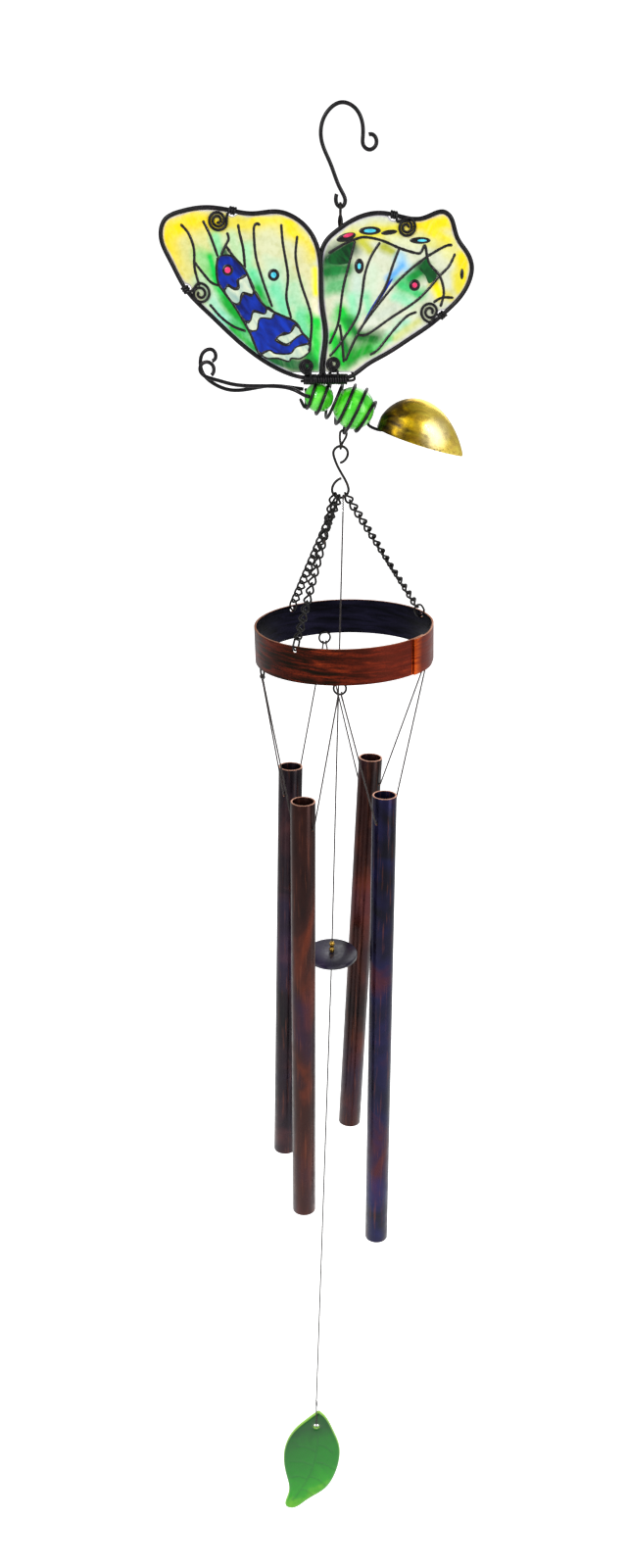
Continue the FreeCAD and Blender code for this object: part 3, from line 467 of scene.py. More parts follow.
def tube_along(path, radius, normals=None, flat=1.0, sides=8, closed=False):
    """A round or flattened bar along sampled points, with rounded ends."""
    p = np.array(path, float)
    n = len(p)
    if closed:
        tangent = np.roll(p, -1, axis=0) - np.roll(p, 1, axis=0)
    else:
        tangent = np.gradient(p, axis=0)
    tangent /= np.linalg.norm(tangent, axis=1)[:, None]
    if normals is None:
        normals = np.zeros_like(p)
        first = np.array([0.0, 1.0, 0.0]) if abs(tangent[0][1]) < 0.9 else np.array([1.0, 0.0, 0.0])
        for k in range(n):
            first = first - tangent[k] * first.dot(tangent[k])
            first /= np.linalg.norm(first)
            normals[k] = first
    across = np.cross(tangent, normals)
    size = np.full(n, radius)
    if not closed:
        walked = np.concatenate([[0], np.cumsum(np.linalg.norm(np.diff(p, axis=0), axis=1))])
        ends = np.minimum(walked, walked[-1] - walked)
        near = np.clip(ends / radius, 0, 1)
        size = radius * np.sqrt(np.clip(1 - (1 - near) ** 2, 0.02, 1))
    angles = np.arange(sides) * 2 * math.pi / sides
    verts = []
    for k in range(n):
        for a in angles:
            verts.append(p[k] + size[k] * (across[k] * math.cos(a) + normals[k] * (math.sin(a) * flat)))
    faces = []
    for k in range(n if closed else n - 1):
        m = (k + 1) % n
        for s in range(sides):
            t = (s + 1) % sides
            faces.append((k * sides + s, k * sides + t, m * sides + t, m * sides + s))
    if not closed:
        faces.append(tuple(range(sides - 1, -1, -1)))
        faces.append(tuple((n - 1) * sides + s for s in range(sides)))
    return verts, faces


def rope(path, radius, pitch=1.6 * MM, strands=3):
    """Twisted strands along a path, as a list of parts."""
    p = np.array(path, float)
    walked = np.concatenate([[0], np.cumsum(np.linalg.norm(np.diff(p, axis=0), axis=1))])
    count = max(8, int(walked[-1] / (0.28 * MM)))
    places = np.linspace(0, walked[-1], count)
    p = np.column_stack([np.interp(places, walked, p[:, k]) for k in range(3)])
    for _ in range(3):
        p[1:-1] = (p[:-2] + 2 * p[1:-1] + p[2:]) / 4
    tangent = np.gradient(p, axis=0)
    tangent /= np.linalg.norm(tangent, axis=1)[:, None]
    side = np.zeros_like(p)
    first = np.array([0.3, 1.0, 0.1])
    for k in range(count):
        first = first - tangent[k] * first.dot(tangent[k])
        first /= np.linalg.norm(first)
        side[k] = first
    other = np.cross(tangent, side)
    thin = radius * 0.54
    parts = []
    for s in range(strands):
        a = places / pitch * 2 * math.pi + s * 2 * math.pi / strands
        shift = side * np.cos(a)[:, None] + other * np.sin(a)[:, None]
        parts.append(tube_along(p + shift * (radius - thin), thin, normals=shift, sides=6))
    return parts


def coil(top, bottom, radius, turns, steps=14):
    """Points winding round a straight line."""
    down = Vector(bottom) - Vector(top)
    axis = down.normalized()
    side = axis.orthogonal().normalized()
    other = axis.cross(side)
    points = []
    for k in range(int(turns * steps) + 1):
        a = 2 * math.pi * k / steps
        points.append(Vector(top) + down * (k / (turns * steps))
                      + side * (radius * math.cos(a)) + other * (radius * math.sin(a)))
    return points


def hoop(centre, out, up, radius, start=-80, end=260):
    """Part of a circle in the plane of out and up."""
    points = []
    for k in range(25):
        a = math.radians(start + (end - start) * k / 24)
        across, along = Vector(out) * math.cos(a), Vector(up) * math.sin(a)
        points.append(Vector(centre) + (across + along) * radius)
    return points


def refined(node, material, bevel, segments=2):
    """The CAD node's own mesh with its corners softened, standing for it."""
    bm = bmesh.new()
    bm.from_mesh(NODES[node].data)
    bmesh.ops.remove_doubles(bm, verts=bm.verts, dist=1e-6)
    sharp = [e for e in bm.edges if len(e.link_faces) == 2 and e.calc_face_angle(0) > math.radians(50)]
    bmesh.ops.bevel(bm, geom=sharp, offset=bevel, segments=segments, affect="EDGES", profile=0.5,
                    clamp_overlap=True)
    mesh = bpy.data.meshes.new(node + "_finished")
    bm.to_mesh(mesh)
    bm.free()
    mesh.materials.append(material)
    mesh.polygons.foreach_set("use_smooth", [True] * len(mesh.polygons))
    mesh.set_sharp_from_angle(angle=math.radians(42))
    made = bpy.data.objects.new(node + "_finished", mesh)
    bpy.context.scene.collection.objects.link(made)
    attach(made, BODY_OF[node])
    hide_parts(node)
    return made


def outline_of(node):
    """The border of a flat plate's front face, as (x, z) points in order."""
    bm = bmesh.new()
    bm.from_mesh(NODES[node].data)
    bmesh.ops.remove_doubles(bm, verts=bm.verts, dist=1e-6)
    bm.normal_update()
    low = min(v.co.y for v in bm.verts)
    front = {f for f in bm.faces if all(abs(v.co.y - low) < 1e-6 for v in f.verts)}
    follow = {}
    for e in bm.edges:
        touching = [f for f in e.link_faces if f in front]
        if len(touching) == 1:
            for a, b in ((e.verts[0], e.verts[1]), (e.verts[1], e.verts[0])):
                follow.setdefault(a.index, []).append(b.index)
    bm.verts.ensure_lookup_table()
    loops, seen = [], set()
    for start in follow:
        if start in seen:
            continue
        loop, here, before = [], start, None
        while here not in seen:
            seen.add(here)
            loop.append((bm.verts[here].co.x, bm.verts[here].co.z))
            ahead = [k for k in follow[here] if k != before and k not in seen]
            before = here
            if not ahead:
                break
            here = ahead[0]
        loops.append(np.array(loop))
    bm.free()
    return max(loops, key=lambda loop: np.ptp(loop, axis=0).max())


# ---- wing paint --------------------------------------------------------------------------
# Places on a wing are percentages of its glass: across from the left, and up from the bottom.
LEFT_LINES = [
    [(11, 92), (16, 86), (19, 77), (19, 67), (20, 61), (22, 54)],
    [(19, 69), (26, 60), (30, 56), (36, 54)],
    [(25, 94), (29, 86), (32, 78), (34, 72)],
    [(40, 87), (41, 83), (39, 79), (36, 73)],
    [(47, 92), (48, 86), (50, 77), (51, 65)],
    [(61, 91), (59, 92), (57, 90), (57, 82), (58, 72), (61, 61), (64, 52), (68, 41)],
    [(74, 92), (75, 80), (78, 61), (77, 47), (80, 34)],
    [(84, 85), (83, 72), (86, 57), (92, 39), (93, 30), (92, 17)],
    [(28, 43), (35, 35), (43, 29), (51, 26)],
    [(34, 72), (33, 64), (34, 56), (37, 51), (43, 43), (48, 35), (54, 24), (58, 14), (61, 10)],
    [(39, 79), (44, 72), (51, 64), (56, 52), (62, 43), (69, 38), (82, 32), (87, 25), (92, 19), (91, 13)],
]
LEFT_BLUE = [
    [(39, 73), (43, 72), (49, 67), (52, 62), (49, 59), (46, 58), (46, 54), (44, 53), (40, 55),
     (38, 52), (35, 54), (33, 60), (33, 67), (35, 72)],
    [(57, 51), (62, 43), (64, 41), (63, 37), (56, 39), (54, 33), (51, 32), (44, 42), (47, 43),
     (50, 49), (55, 48)],
    [(70, 37), (82, 32), (82, 29), (79, 25), (75, 25), (71, 22), (70, 20), (77, 17), (82, 21),
     (87, 24), (91, 21), (90, 18), (83, 16), (79, 12), (70, 12), (66, 14), (61, 12), (57, 16),
     (54, 25), (58, 27), (60, 34), (67, 34)],
]
LEFT_WHITE = [
    [(52, 61), (56, 54), (56, 51), (55, 49), (49, 50), (47, 44), (43, 44), (38, 51), (40, 54),
     (44, 52), (47, 53), (47, 58)],
    [(65, 41), (69, 38), (69, 36), (67, 34), (60, 34), (58, 27), (53, 27), (51, 32), (54, 33),
     (56, 38), (63, 37)],
    [(82, 30), (87, 25), (83, 22), (77, 18), (71, 21), (72, 23), (79, 25)],
    [(61, 12), (66, 14), (70, 12), (79, 12), (83, 16), (90, 18), (92, 14), (86, 9), (80, 9),
     (78, 7), (71, 9), (64, 9)],
]
RIGHT_LINES = [
    [(4, 76), (15, 82), (23, 85), (29, 86), (40, 84), (53, 79), (64, 76), (67, 77), (69, 81),
     (70, 79), (71, 74), (73, 69), (79, 63), (82, 57), (83, 50), (81, 42)],
    [(22, 84), (18, 69), (14, 53), (11, 32), (5, 18)],
    [(39, 83), (33, 74), (29, 63), (27, 49), (24, 36), (12, 18), (5, 10)],
    [(52, 79), (48, 69), (43, 55), (33, 38), (25, 26)],
    [(71, 74), (60, 66), (50, 57), (42, 48), (33, 37), (25, 26), (26, 24), (32, 25), (47, 35),
     (63, 45), (72, 53), (79, 61), (86, 68), (90, 76)],
    [(71, 74), (80, 79), (85, 81), (88, 81)],
    [(90, 48), (82, 48), (76, 45)],
    [(65, 39), (58, 36), (49, 27), (39, 15), (33, 11)],
    [(12, 31), (14, 18), (15, 6)],
    [(25, 25), (22, 20), (16, 7)],
]
RIGHT_GREEN = [
    [(3, 73), (12, 79), (20, 83), (21, 82), (20, 75), (18, 70), (10, 69), (4, 70)],
    [(71, 73), (74, 67), (78, 62), (73, 57), (70, 62), (66, 67)],
]
RIGHT_BLUE = [[(44, 57), (48, 60), (42, 50), (36, 42), (31, 36), (28, 32), (33, 41), (39, 50)]]
# Brush strokes: from, to, width, colour, strength.
LEFT_STROKES = [
    ((50, 50), (60, 70), 60, "d4d6a6", 1.0),
    ((3, 84), (14, 92), 12, "f6de00", 1.0), ((4, 80), (12, 64), 8, "ecd824", 0.9),
    ((15, 92), (34, 92), 8, "f2dc08", 1.0), ((40, 92), (78, 90), 7, "e6d83a", 0.9),
    ((58, 94), (80, 92), 5, "f4e200", 0.9), ((78, 90), (93, 76), 7, "f0e000", 0.95),
    ((92, 70), (98, 76), 4, "e6dc50", 0.6), ((15, 80), (17, 62), 9, "d6d48c", 0.8),
    ((95, 64), (96, 50), 3, "fff200", 1.0), ((95, 44), (97, 34), 4, "f0ead0", 0.8),
    ((66, 84), (68, 62), 12, "d9dcb8", 0.8), ((86, 76), (88, 60), 8, "dcd8a8", 0.7),
    ((24, 86), (26, 76), 6, "d9d88a", 0.7), ((33, 84), (35, 74), 5, "8fe0a8", 0.9),
    ((23, 72), (29, 58), 7, "9ad68e", 0.9), ((29, 72), (33, 56), 4.5, "10cc50", 1.0),
    ((43, 84), (46, 72), 6, "b9dcae", 0.8), ((52, 76), (54, 60), 6, "9fe3b4", 0.8),
    ((56, 62), (61, 52), 5, "6fdca4", 0.95), ((59, 53), (66, 40), 4.2, "0aac3c", 1.0),
    ((70, 62), (72, 48), 10, "b4dcc0", 0.8), ((70, 52), (76, 38), 7, "7fdcae", 0.95),
    ((82, 54), (86, 36), 7, "aedcb8", 0.8), ((85, 36), (90, 24), 6, "74d8a0", 0.95),
    ((96, 32), (96, 8), 6, "14d444", 1.0), ((97, 44), (97, 38), 3, "e4e2c0", 0.5),
    ((22, 56), (34, 46), 6, "c2dec0", 0.8), ((30, 44), (46, 26), 7, "a2dec0", 0.9),
    ((35, 52), (42, 40), 4.5, "20cc58", 1.0), ((39, 44), (52, 27), 5.5, "04a82e", 1.0),
    ((34, 36), (54, 17), 5, "92e2c4", 0.85), ((42, 28), (56, 13), 5.5, "0cb43c", 1.0),
    ((56, 12), (66, 6), 6, "0fa848", 1.0), ((64, 7), (90, 4), 7, "056a2c", 1.0),
    ((38, 76), (40, 72), 2.5, "0a5c26", 1.0), ((90, 14), (94, 4), 5, "0c9432", 1.0),
]
RIGHT_STROKES = [
    ((50, 50), (50, 50), 90, "d6dbc4", 1.0),
    ((18, 86), (52, 91), 7, "e4dc34", 0.95), ((60, 94), (88, 95), 9, "f4de00", 1.0),
    ((72, 90), (84, 84), 7, "ece000", 0.95), ((80, 82), (86, 78), 6, "e0d86a", 0.8),
    ((66, 86), (74, 82), 4, "dcdc86", 0.8),
    ((45, 86), (62, 81), 4, "dfe3b8", 0.8), ((84, 76), (90, 72), 6, "e4e4a8", 0.7),
    ((95, 74), (96, 58), 7, "ecdc04", 1.0), ((92, 62), (94, 52), 5, "e2d838", 0.9),
    ((77, 57), (80, 50), 4.5, "fae600", 1.0), ((86, 50), (90, 46), 4, "dcd24c", 0.8),
    ((4, 72), (19, 80), 8, "044a22", 1.0), ((3, 64), (16, 66), 8, "148438", 1.0),
    ((5, 54), (14, 57), 7, "52b870", 0.85), ((10, 44), (12, 36), 5, "b8d6b4", 0.7),
    ((27, 83), (32, 78), 4, "c2c430", 0.9), ((41, 80), (48, 77), 4, "b4b820", 0.9),
    ((24, 60), (22, 44), 6, "c6dcce", 0.8), ((34, 66), (34, 46), 6, "cfe0c8", 0.8),
    ((30, 48), (32, 40), 4, "86deac", 0.85), ((20, 48), (22, 36), 5, "8ee2b2", 0.8),
    ((52, 74), (57, 66), 5, "a8d4ea", 0.85), ((46, 60), (54, 68), 3.5, "5cb0ec", 0.9),
    ((60, 60), (70, 66), 6, "14983e", 1.0), ((68, 68), (76, 61), 5, "035a28", 1.0),
    ((54, 56), (66, 50), 6, "38c874", 0.95), ((50, 48), (60, 45), 5, "8ce0b4", 0.85),
    ((34, 33), (50, 42), 6, "ccd6c6", 0.9), ((28, 27), (36, 33), 4, "dbe0d0", 0.9),
    ((60, 36), (72, 44), 5, "d8e0c4", 0.8), ((46, 22), (58, 32), 5, "a9e2c8", 0.8),
    ((50, 22), (66, 33), 3.5, "d2d686", 0.8), ((13, 40), (18, 26), 6, "10cc3c", 1.0),
    ((19, 32), (24, 24), 5, "0c8c30", 1.0), ((7, 24), (14, 6), 6, "14d038", 1.0),
    ((14, 20), (20, 8), 5, "08882a", 1.0), ((27, 23), (37, 21), 7, "04701e", 1.0),
    ((18, 9), (33, 15), 7, "08a426", 1.0), ((37, 15), (46, 22), 3.5, "56cc68", 0.85),
]


def on_wing(glass, points):
    low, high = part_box(glass)
    p = np.array(points, float) / 100
    return np.column_stack([low.x + p[:, 0] * (high.x - low.x), low.z + p[:, 1] * (high.z - low.z)])


def brush(made, glass, strokes, depth):
    """Lays soft strokes of colour on the plate's vertices, and leaves its rim clear."""
    mesh = made.data
    co = np.zeros(len(mesh.vertices) * 3)
    mesh.vertices.foreach_get("co", co)
    co = co.reshape(-1, 3)[:, [0, 2]]
    low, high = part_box(glass)
    unit = (high.x - low.x) / 100
    shade = np.tile(np.array(tint("d9dcc0")), (len(co), 1))
    rough = np.array([noise.noise((x * 160, z * 160, 3.0)) for x, z in co])
    for a, b, width, code, strength in strokes:
        a, b = on_wing(glass, [a, b])
        along = b - a
        length = max(along.dot(along), 1e-12)
        t = np.clip((co - a) @ along / length, 0, 1)
        away = np.linalg.norm(co - (a + t[:, None] * along), axis=1) / (width * unit)
        weight = strength * np.clip(1.25 - away * (1 + 0.5 * rough), 0, 1) ** 1.3
        weight = np.clip(weight, 0, 1)[:, None]
        shade = shade * (1 - weight) + np.array(tint(code)) * weight
    bare = np.clip(1.3 - depth / (0.7 * MM) + 0.5 * rough, 0, 1)[:, None] * 0.65
    shade = shade * (1 - bare) + np.array(tint("b7b0cb")) * bare
    layer = mesh.color_attributes.new("paint", "FLOAT_COLOR", "POINT")
    layer.data.foreach_set("color", np.column_stack([shade, np.ones(len(shade))]).ravel())


def outliner(glass, paths, y, width, closed=False):
    """Raised lines of black relief paint on the glass."""
    parts = []
    for path in paths:
        flat_path = spaced(on_wing(glass, path), 0.45 * MM, closed)
        points = np.column_stack([flat_path[:, 0], np.full(len(flat_path), y), flat_path[:, 1]])
        wobble = np.array([noise.noise((x * 900, z * 900, 1.0)) for x, z in flat_path])
        normals = np.tile([0.0, -1.0, 0.0], (len(points), 1))
        verts, faces = tube_along(points, width / 2, normals, 0.55, 8, closed)
        centre = np.repeat(points, 8, axis=0)
        swell = 1 + 0.18 * np.repeat(wobble, 8)[:, None]
        parts.append((centre + (np.array(verts) - centre) * swell, faces))
    return parts


def dot(glass, place, radius, y, height, stretch=(1, 1), lean=0.0, sides=20):
    """A drop of enamel, round or oval. A negative height stands out from the back of the glass."""
    centre = on_wing(glass, [place])[0]
    verts, faces, rings = [], [], 5
    for k in range(rings):
        a = math.pi / 2 * k / rings
        for s in range(sides):
            t = 2 * math.pi * s / sides
            x, z = stretch[0] * math.cos(t), stretch[1] * math.sin(t)
            x, z = x * math.cos(lean) - z * math.sin(lean), x * math.sin(lean) + z * math.cos(lean)
            r = radius * math.cos(a)
            verts.append((centre[0] + r * x, y - height * math.sin(a), centre[1] + r * z))
    verts.append((centre[0], y - height, centre[1]))
    for k in range(rings - 1):
        for s in range(sides):
            t = (s + 1) % sides
            faces.append((k * sides + s, k * sides + t, (k + 1) * sides + t, (k + 1) * sides + s))
    for s in range(sides):
        faces.append(((rings - 1) * sides + s, (rings - 1) * sides + (s + 1) % sides, rings * sides))
    faces.append(tuple(range(sides - 1, -1, -1)))
    if height < 0:
        faces = [tuple(reversed(f)) for f in faces]
    return verts, faces


def wing(side, strokes, lines, patches, dots):
    glass = side + "_wing_glass"
    low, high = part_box(glass)
    middle, half = (low.y + high.y) / 2, (high.y - low.y) / 2
    border = grown(outline_of(glass), 0.3 * MM)
    verts, faces, depth = slab(border, middle, half, GLASS_EDGE, 0.62 * MM, wave=0.05 * MM)
    plate = build(glass + "_painted", [(verts, faces)], PAINT[side], "butterfly")
    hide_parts(glass)
    brush(plate, glass, strokes, depth)
    drawn, fills = [], {}
    # the colours show through the clear glass, so both faces carry them
    for face, sign in ((low.y, 1), (high.y, -1)):
        for name, shapes in patches.items():
            for shape in shapes:
                loop = spaced(on_wing(glass, shape), 0.4 * MM, True)
                part = slab(loop, face, 0.12 * MM, 0.4 * MM, 0.6 * MM)[:2]
                fills.setdefault(name, []).append(part)
                if name in ("blue", "white") and side == "left":
                    drawn += outliner(glass, [shape], face, PATCH_LINE, True)
        drawn += outliner(glass, lines, face, LINE)
        for name, place, radius, stretch, lean in dots:
            height = sign * (0.5 if name == "ink" else 0.62) * MM
            part = dot(glass, place, radius * MM, face + sign * 0.02 * MM, height, stretch, lean)
            (drawn if name == "ink" else fills.setdefault(name, [])).append(part)
    for name, parts in fills.items():
        build(side + "_wing_" + name, parts, ENAMEL[name], "butterfly")
    build(side + "_wing_outlines", drawn, ENAMEL["ink"], "butterfly")


# ---- the wings ---------------------------------------------------------------------------
PAINT = {"left": wing_paint("left_wing_paint", 0.5), "right": wing_paint("right_wing_paint", -0.5)}
ENAMEL = {
    "ink": enamel("ink", "050405", "140f12", 0.2),
    "blue": enamel("cobalt", "010c52", "0330ac"),
    "white": enamel("pearl", "93b4a8", "d4dcc0"),
    "green": enamel("deep_green", "022e12", "066024"),
    "sky": enamel("sky", "1a9ab8", "5fdcf0"),
    "pink": enamel("pink", "a80c3c", "f03a74"),
}
wing("left", LEFT_STROKES, LEFT_LINES, {"blue": LEFT_BLUE, "white": LEFT_WHITE}, [
    ("ink", (40, 64), 2.7, (1, 1), 0.0), ("pink", (40, 64), 1.9, (1, 1), 0.0),
    ("ink", (69, 61), 2.7, (1, 1), 0.0), ("sky", (69, 61), 1.8, (1, 1), 0.0)])
wing("right", RIGHT_STROKES, RIGHT_LINES, {"green": RIGHT_GREEN, "blue": RIGHT_BLUE}, [
    ("ink", (63, 56), 2.6, (1, 1), 0.0), ("pink", (63, 56), 1.7, (1, 1), 0.0),
    ("ink", (32, 90), 4.6, (1.1, 0.40), 0.02), ("sky", (32, 90), 3.6, (1.05, 0.32), 0.02),
    ("ink", (66, 84), 4.4, (1.1, 0.34), 0.0), ("sky", (67, 84), 3.0, (1.0, 0.26), 0.0),
    ("ink", (25, 68), 2.6, (0.85, 1.3), 0.0), ("sky", (25, 68), 1.6, (0.75, 1.2), 0.0),
    ("ink", (16, 86), 4.2, (1.1, 0.42), 0.28), ("pink", (17, 87), 2.8, (1.1, 0.36), 0.28),
    ("ink", (45, 89), 3.4, (1.1, 0.32), 0.12), ("ink", (95, 63), 1.9, (0.45, 1.25), 0.0)])


# ---- the body ----------------------------------------------------------------------------
def glass_bead(node, axis):
    """A bead with a hole along the body and slightly uneven sides."""
    low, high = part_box(node)
    centre, radius = (low + high) / 2, (high.z - low.z) / 2
    hole = 1.3 * MM
    edge = math.asin(hole / radius)
    profile = []
    for k in range(41):
        a = edge + (math.pi - 2 * edge) * k / 40
        profile.append((radius * math.sin(a), radius * math.cos(a)))
    for k in range(1, 12):
        a = math.pi * k / 12
        depth = radius * math.cos(edge) - 0.25 * MM
        profile.append((hole - 0.12 * MM * math.sin(a), -depth + 2 * depth * k / 12))
    side = axis.orthogonal().normalized()
    other = axis.cross(side)
    verts, faces, turns = [], [], 64
    for s in range(turns):
        t = 2 * math.pi * s / turns
        around = side * math.cos(t) + other * math.sin(t)
        for r, h in profile:
            p = around * r + axis * h
            uneven = 1 - 0.008 * (1 + noise.noise(p * 130 + centre * 50))
            verts.append(centre + p * uneven)
    count = len(profile)
    for s in range(turns):
        t = (s + 1) % turns
        for k in range(count):
            m = (k + 1) % count
            faces.append((s * count + k, s * count + m, t * count + m, t * count + k))
    made = build(node + "_glass", [(verts, faces)], BEAD, BODY_OF[node])
    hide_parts(node)


def middle_of(node):
    low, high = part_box(node)
    return (low + high) / 2


BEAD = bead_glass()
BODY_LINE = (middle_of("abdomen_bead") - middle_of("thorax_bead")).normalized()
glass_bead("thorax_bead", BODY_LINE)
glass_bead("abdomen_bead", BODY_LINE)


# ---- metal -------------------------------------------------------------------------------
WIRE = painted_wire("black_wire", "030204", "0c080e", "2a1e22")
CHAIN = painted_wire("chain_black", "030303", "110d0b", "3a2c22")
TWIST = painted_wire("twisted_wire", "040304", "140f10", "40301f")
for slot_name, material in (("hook_wire", WIRE), ("frame_wire", WIRE), ("body_wire", WIRE),
                            ("hanger_wire", TWIST), ("chain_wire", CHAIN)):
    for entry in frame["record"]["subparts"]:
        if entry["material_slot"] == slot_name:
            mesh = NODES[entry["node"]].data
            mesh.materials.clear()
            mesh.materials.append(material)

def coated(node, thickness):
    """The CAD wire with its coat of black paint."""
    weld = NODES[node].modifiers.new("weld", "WELD")
    weld.merge_threshold = 0.002 * MM
    coat = NODES[node].modifiers.new("paint_coat", "DISPLACE")
    coat.strength = thickness
    coat.mid_level = 0.0


for node in ("left_wing_frame", "right_wing_frame", "front_antenna", "rear_antenna"):
    coated(node, FRAME_COAT)
for node in ("left_top_clip", "left_side_clip", "right_top_clip", "right_side_clip", "left_root_clip",
             "right_root_clip", "root_binding", "body_coil", "head_loop"):
    coated(node, CLIP_COAT)
for node in ("chain_right", "chain_back", "chain_front", "chain_end_links", "s_hook", "hanging_link",
             "hanger_wire", "ring_eyelets"):
    coated(node, LINK_COAT)

refined("tail_shell", tail_metal(), 0.12 * MM)
refined("ring_band", ring_metal(), 0.12 * MM)
refined("striker_disc", striker_paint(), 0.18 * MM, 3)
refined("striker_crimp", crimp_metal(), 0.05 * MM)
for tube_name, shades in (
        ("front_left", ("1a0d0e", "3c1a14", "7e3418", "2a1c3c", 0.3)),
        ("front_right", ("0d0a1c", "191640", "4c1c28", "1c2470", 1.1)),
        ("back_left", ("120b12", "24151f", "4e2a2c", "2c2140", 1.9)),
        ("back_right", ("160a0c", "381814", "6e2c1c", "261c36", 2.7))):
    refined("tube_" + tube_name, tube_metal(tube_name, *shades), 0.12 * MM)


def root_wraps():
    """The wire wound round both wings' roots, between the CAD binding's two coils."""
    low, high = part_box("root_binding")
    middle, reach = (low + high) / 2, (high - low) / 2
    path, turns, steps = [], 15, 18
    for k in range(turns * steps + 1):
        a, t = 2 * math.pi * k / steps, k / (turns * steps)
        wave = 1 + 0.08 * noise.noise((t * 30, 0, 2.0))
        path.append((low.x + 3.2 * MM + (high.x - low.x - 3.6 * MM) * t,
                     middle.y + (reach.y - 0.2 * MM) * wave * math.cos(a),
                     middle.z + (reach.z - 0.4 * MM) * wave * math.sin(a)))
    build("root_wraps", [tube_along(path, 0.55 * MM, sides=8)], WIRE, "butterfly")


root_wraps()


# ---- cords -------------------------------------------------------------------------------
TWINE = cord_fibre("cord_twine", "0c0605", "2a1811")
BLACK_TWINE = cord_fibre("leaf_twine", "080404", "1f1310")
UP = Vector((0, 0, 1))


def cord_object(node, ropes, material):
    made = build(node + "_twisted", ropes, material, BODY_OF[node])
    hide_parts(node)


def bridle(tube_name):
    """A cord tied to two eyelets that passes through its tube's cross hole."""
    swing, turn = JOINTS["cord_swing_" + tube_name], JOINTS["tube_swing_" + tube_name]
    middle, line = Vector(swing["pos_m"]), Vector(swing["axis"])
    pivot, across = Vector(turn["pos_m"]), Vector(turn["axis"])
    if across.dot(line) < 0:
        across = -across
    node = "cord_" + tube_name
    cloud = np.array([v.co for v in NODES[node].data.vertices])
    share = (cloud - np.array(middle)) @ np.array(line)
    ring = middle_of("ring_band")
    ropes, corners = [], []
    for sign in (-1, 1):
        mine = cloud[share * sign > 0]
        top = mine[:, 2].max()
        near = mine[mine[:, 2] > top - 0.4 * MM]
        seat = Vector((*near[:, :2].mean(0), top - 1.325 * MM))
        out = Vector((seat.x - ring.x, seat.y - ring.y, 0)).normalized()
        corner = pivot + across * (sign * 6.9 * MM)
        down = (corner - seat).normalized()
        start = seat - UP * MM
        end = start + down * (3.3 * MM)
        ropes += rope(hoop(seat, out, UP, 0.95 * MM), CORD)
        ropes += rope(coil(start - down * 0.1 * MM, end, 0.42 * MM, 3), 0.27 * MM)
        corners.append((start, corner))
    (top_a, corner_a), (top_b, corner_b) = corners
    ropes += rope([top_a, corner_a, corner_b, top_b], CORD)
    cord_object(node, ropes, TWINE)


for tube_name in ("front_left", "front_right", "back_left", "back_right"):
    bridle(tube_name)

hang = Vector(JOINTS["striker_loop_swing"]["pos_m"])
cord_top = Vector(JOINTS["striker_cord_swing"]["pos_m"])
disc = Vector(JOINTS["striker_tilt"]["pos_m"])
leaf_top = Vector(JOINTS["leaf_cord_swing"]["pos_m"])
tie_top = Vector(JOINTS["leaf_spin"]["pos_m"])
eye = Vector(JOINTS["leaf_swing"]["pos_m"])

parts = rope(hoop(hang - UP * 0.15 * MM, (0, 1, 0), UP, 1.25 * MM), CORD)
parts += rope(coil(hang - UP * 1.7 * MM, cord_top + UP * 0.25 * MM, 0.42 * MM, 4), 0.28 * MM)
cord_object("striker_loop", parts, TWINE)

down = (disc - cord_top).normalized()
below = disc + down * 2.0 * MM
parts = rope([cord_top, disc, below + down * 2.2 * MM], CORD)
parts += rope(coil(below, below + down * 2.5 * MM, 0.72 * MM, 3), 0.42 * MM)
cord_object("striker_cord", parts, TWINE)
cord_object("leaf_cord", rope([leaf_top, tie_top + UP * 0.15 * MM], CORD), BLACK_TWINE)

reach = (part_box("leaf_tie")[1].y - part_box("leaf_tie")[0].y) / 2 - CORD
x = tie_top.x
path = [Vector((x, 0, tie_top.z - 4.0 * MM)), Vector((x, -reach, tie_top.z - 7.0 * MM)),
        Vector((x, -reach, eye.z + 3.4 * MM)), Vector((x, -reach * 0.7, eye.z + 0.4 * MM)),
        Vector((x, reach * 0.7, eye.z + 0.4 * MM)), Vector((x, reach, eye.z + 3.4 * MM)),
        Vector((x, reach, tie_top.z - 7.0 * MM)), Vector((x, 0, tie_top.z - 4.0 * MM))]
parts = rope([tuple(p) for p in spaced([tuple(p) for p in path], 0.5 * MM)], CORD)
parts += rope(coil(tie_top - UP * 0.3 * MM, tie_top - UP * 4.1 * MM, 0.5 * MM, 3), 0.36 * MM)
cord_object("leaf_tie", parts, BLACK_TWINE)


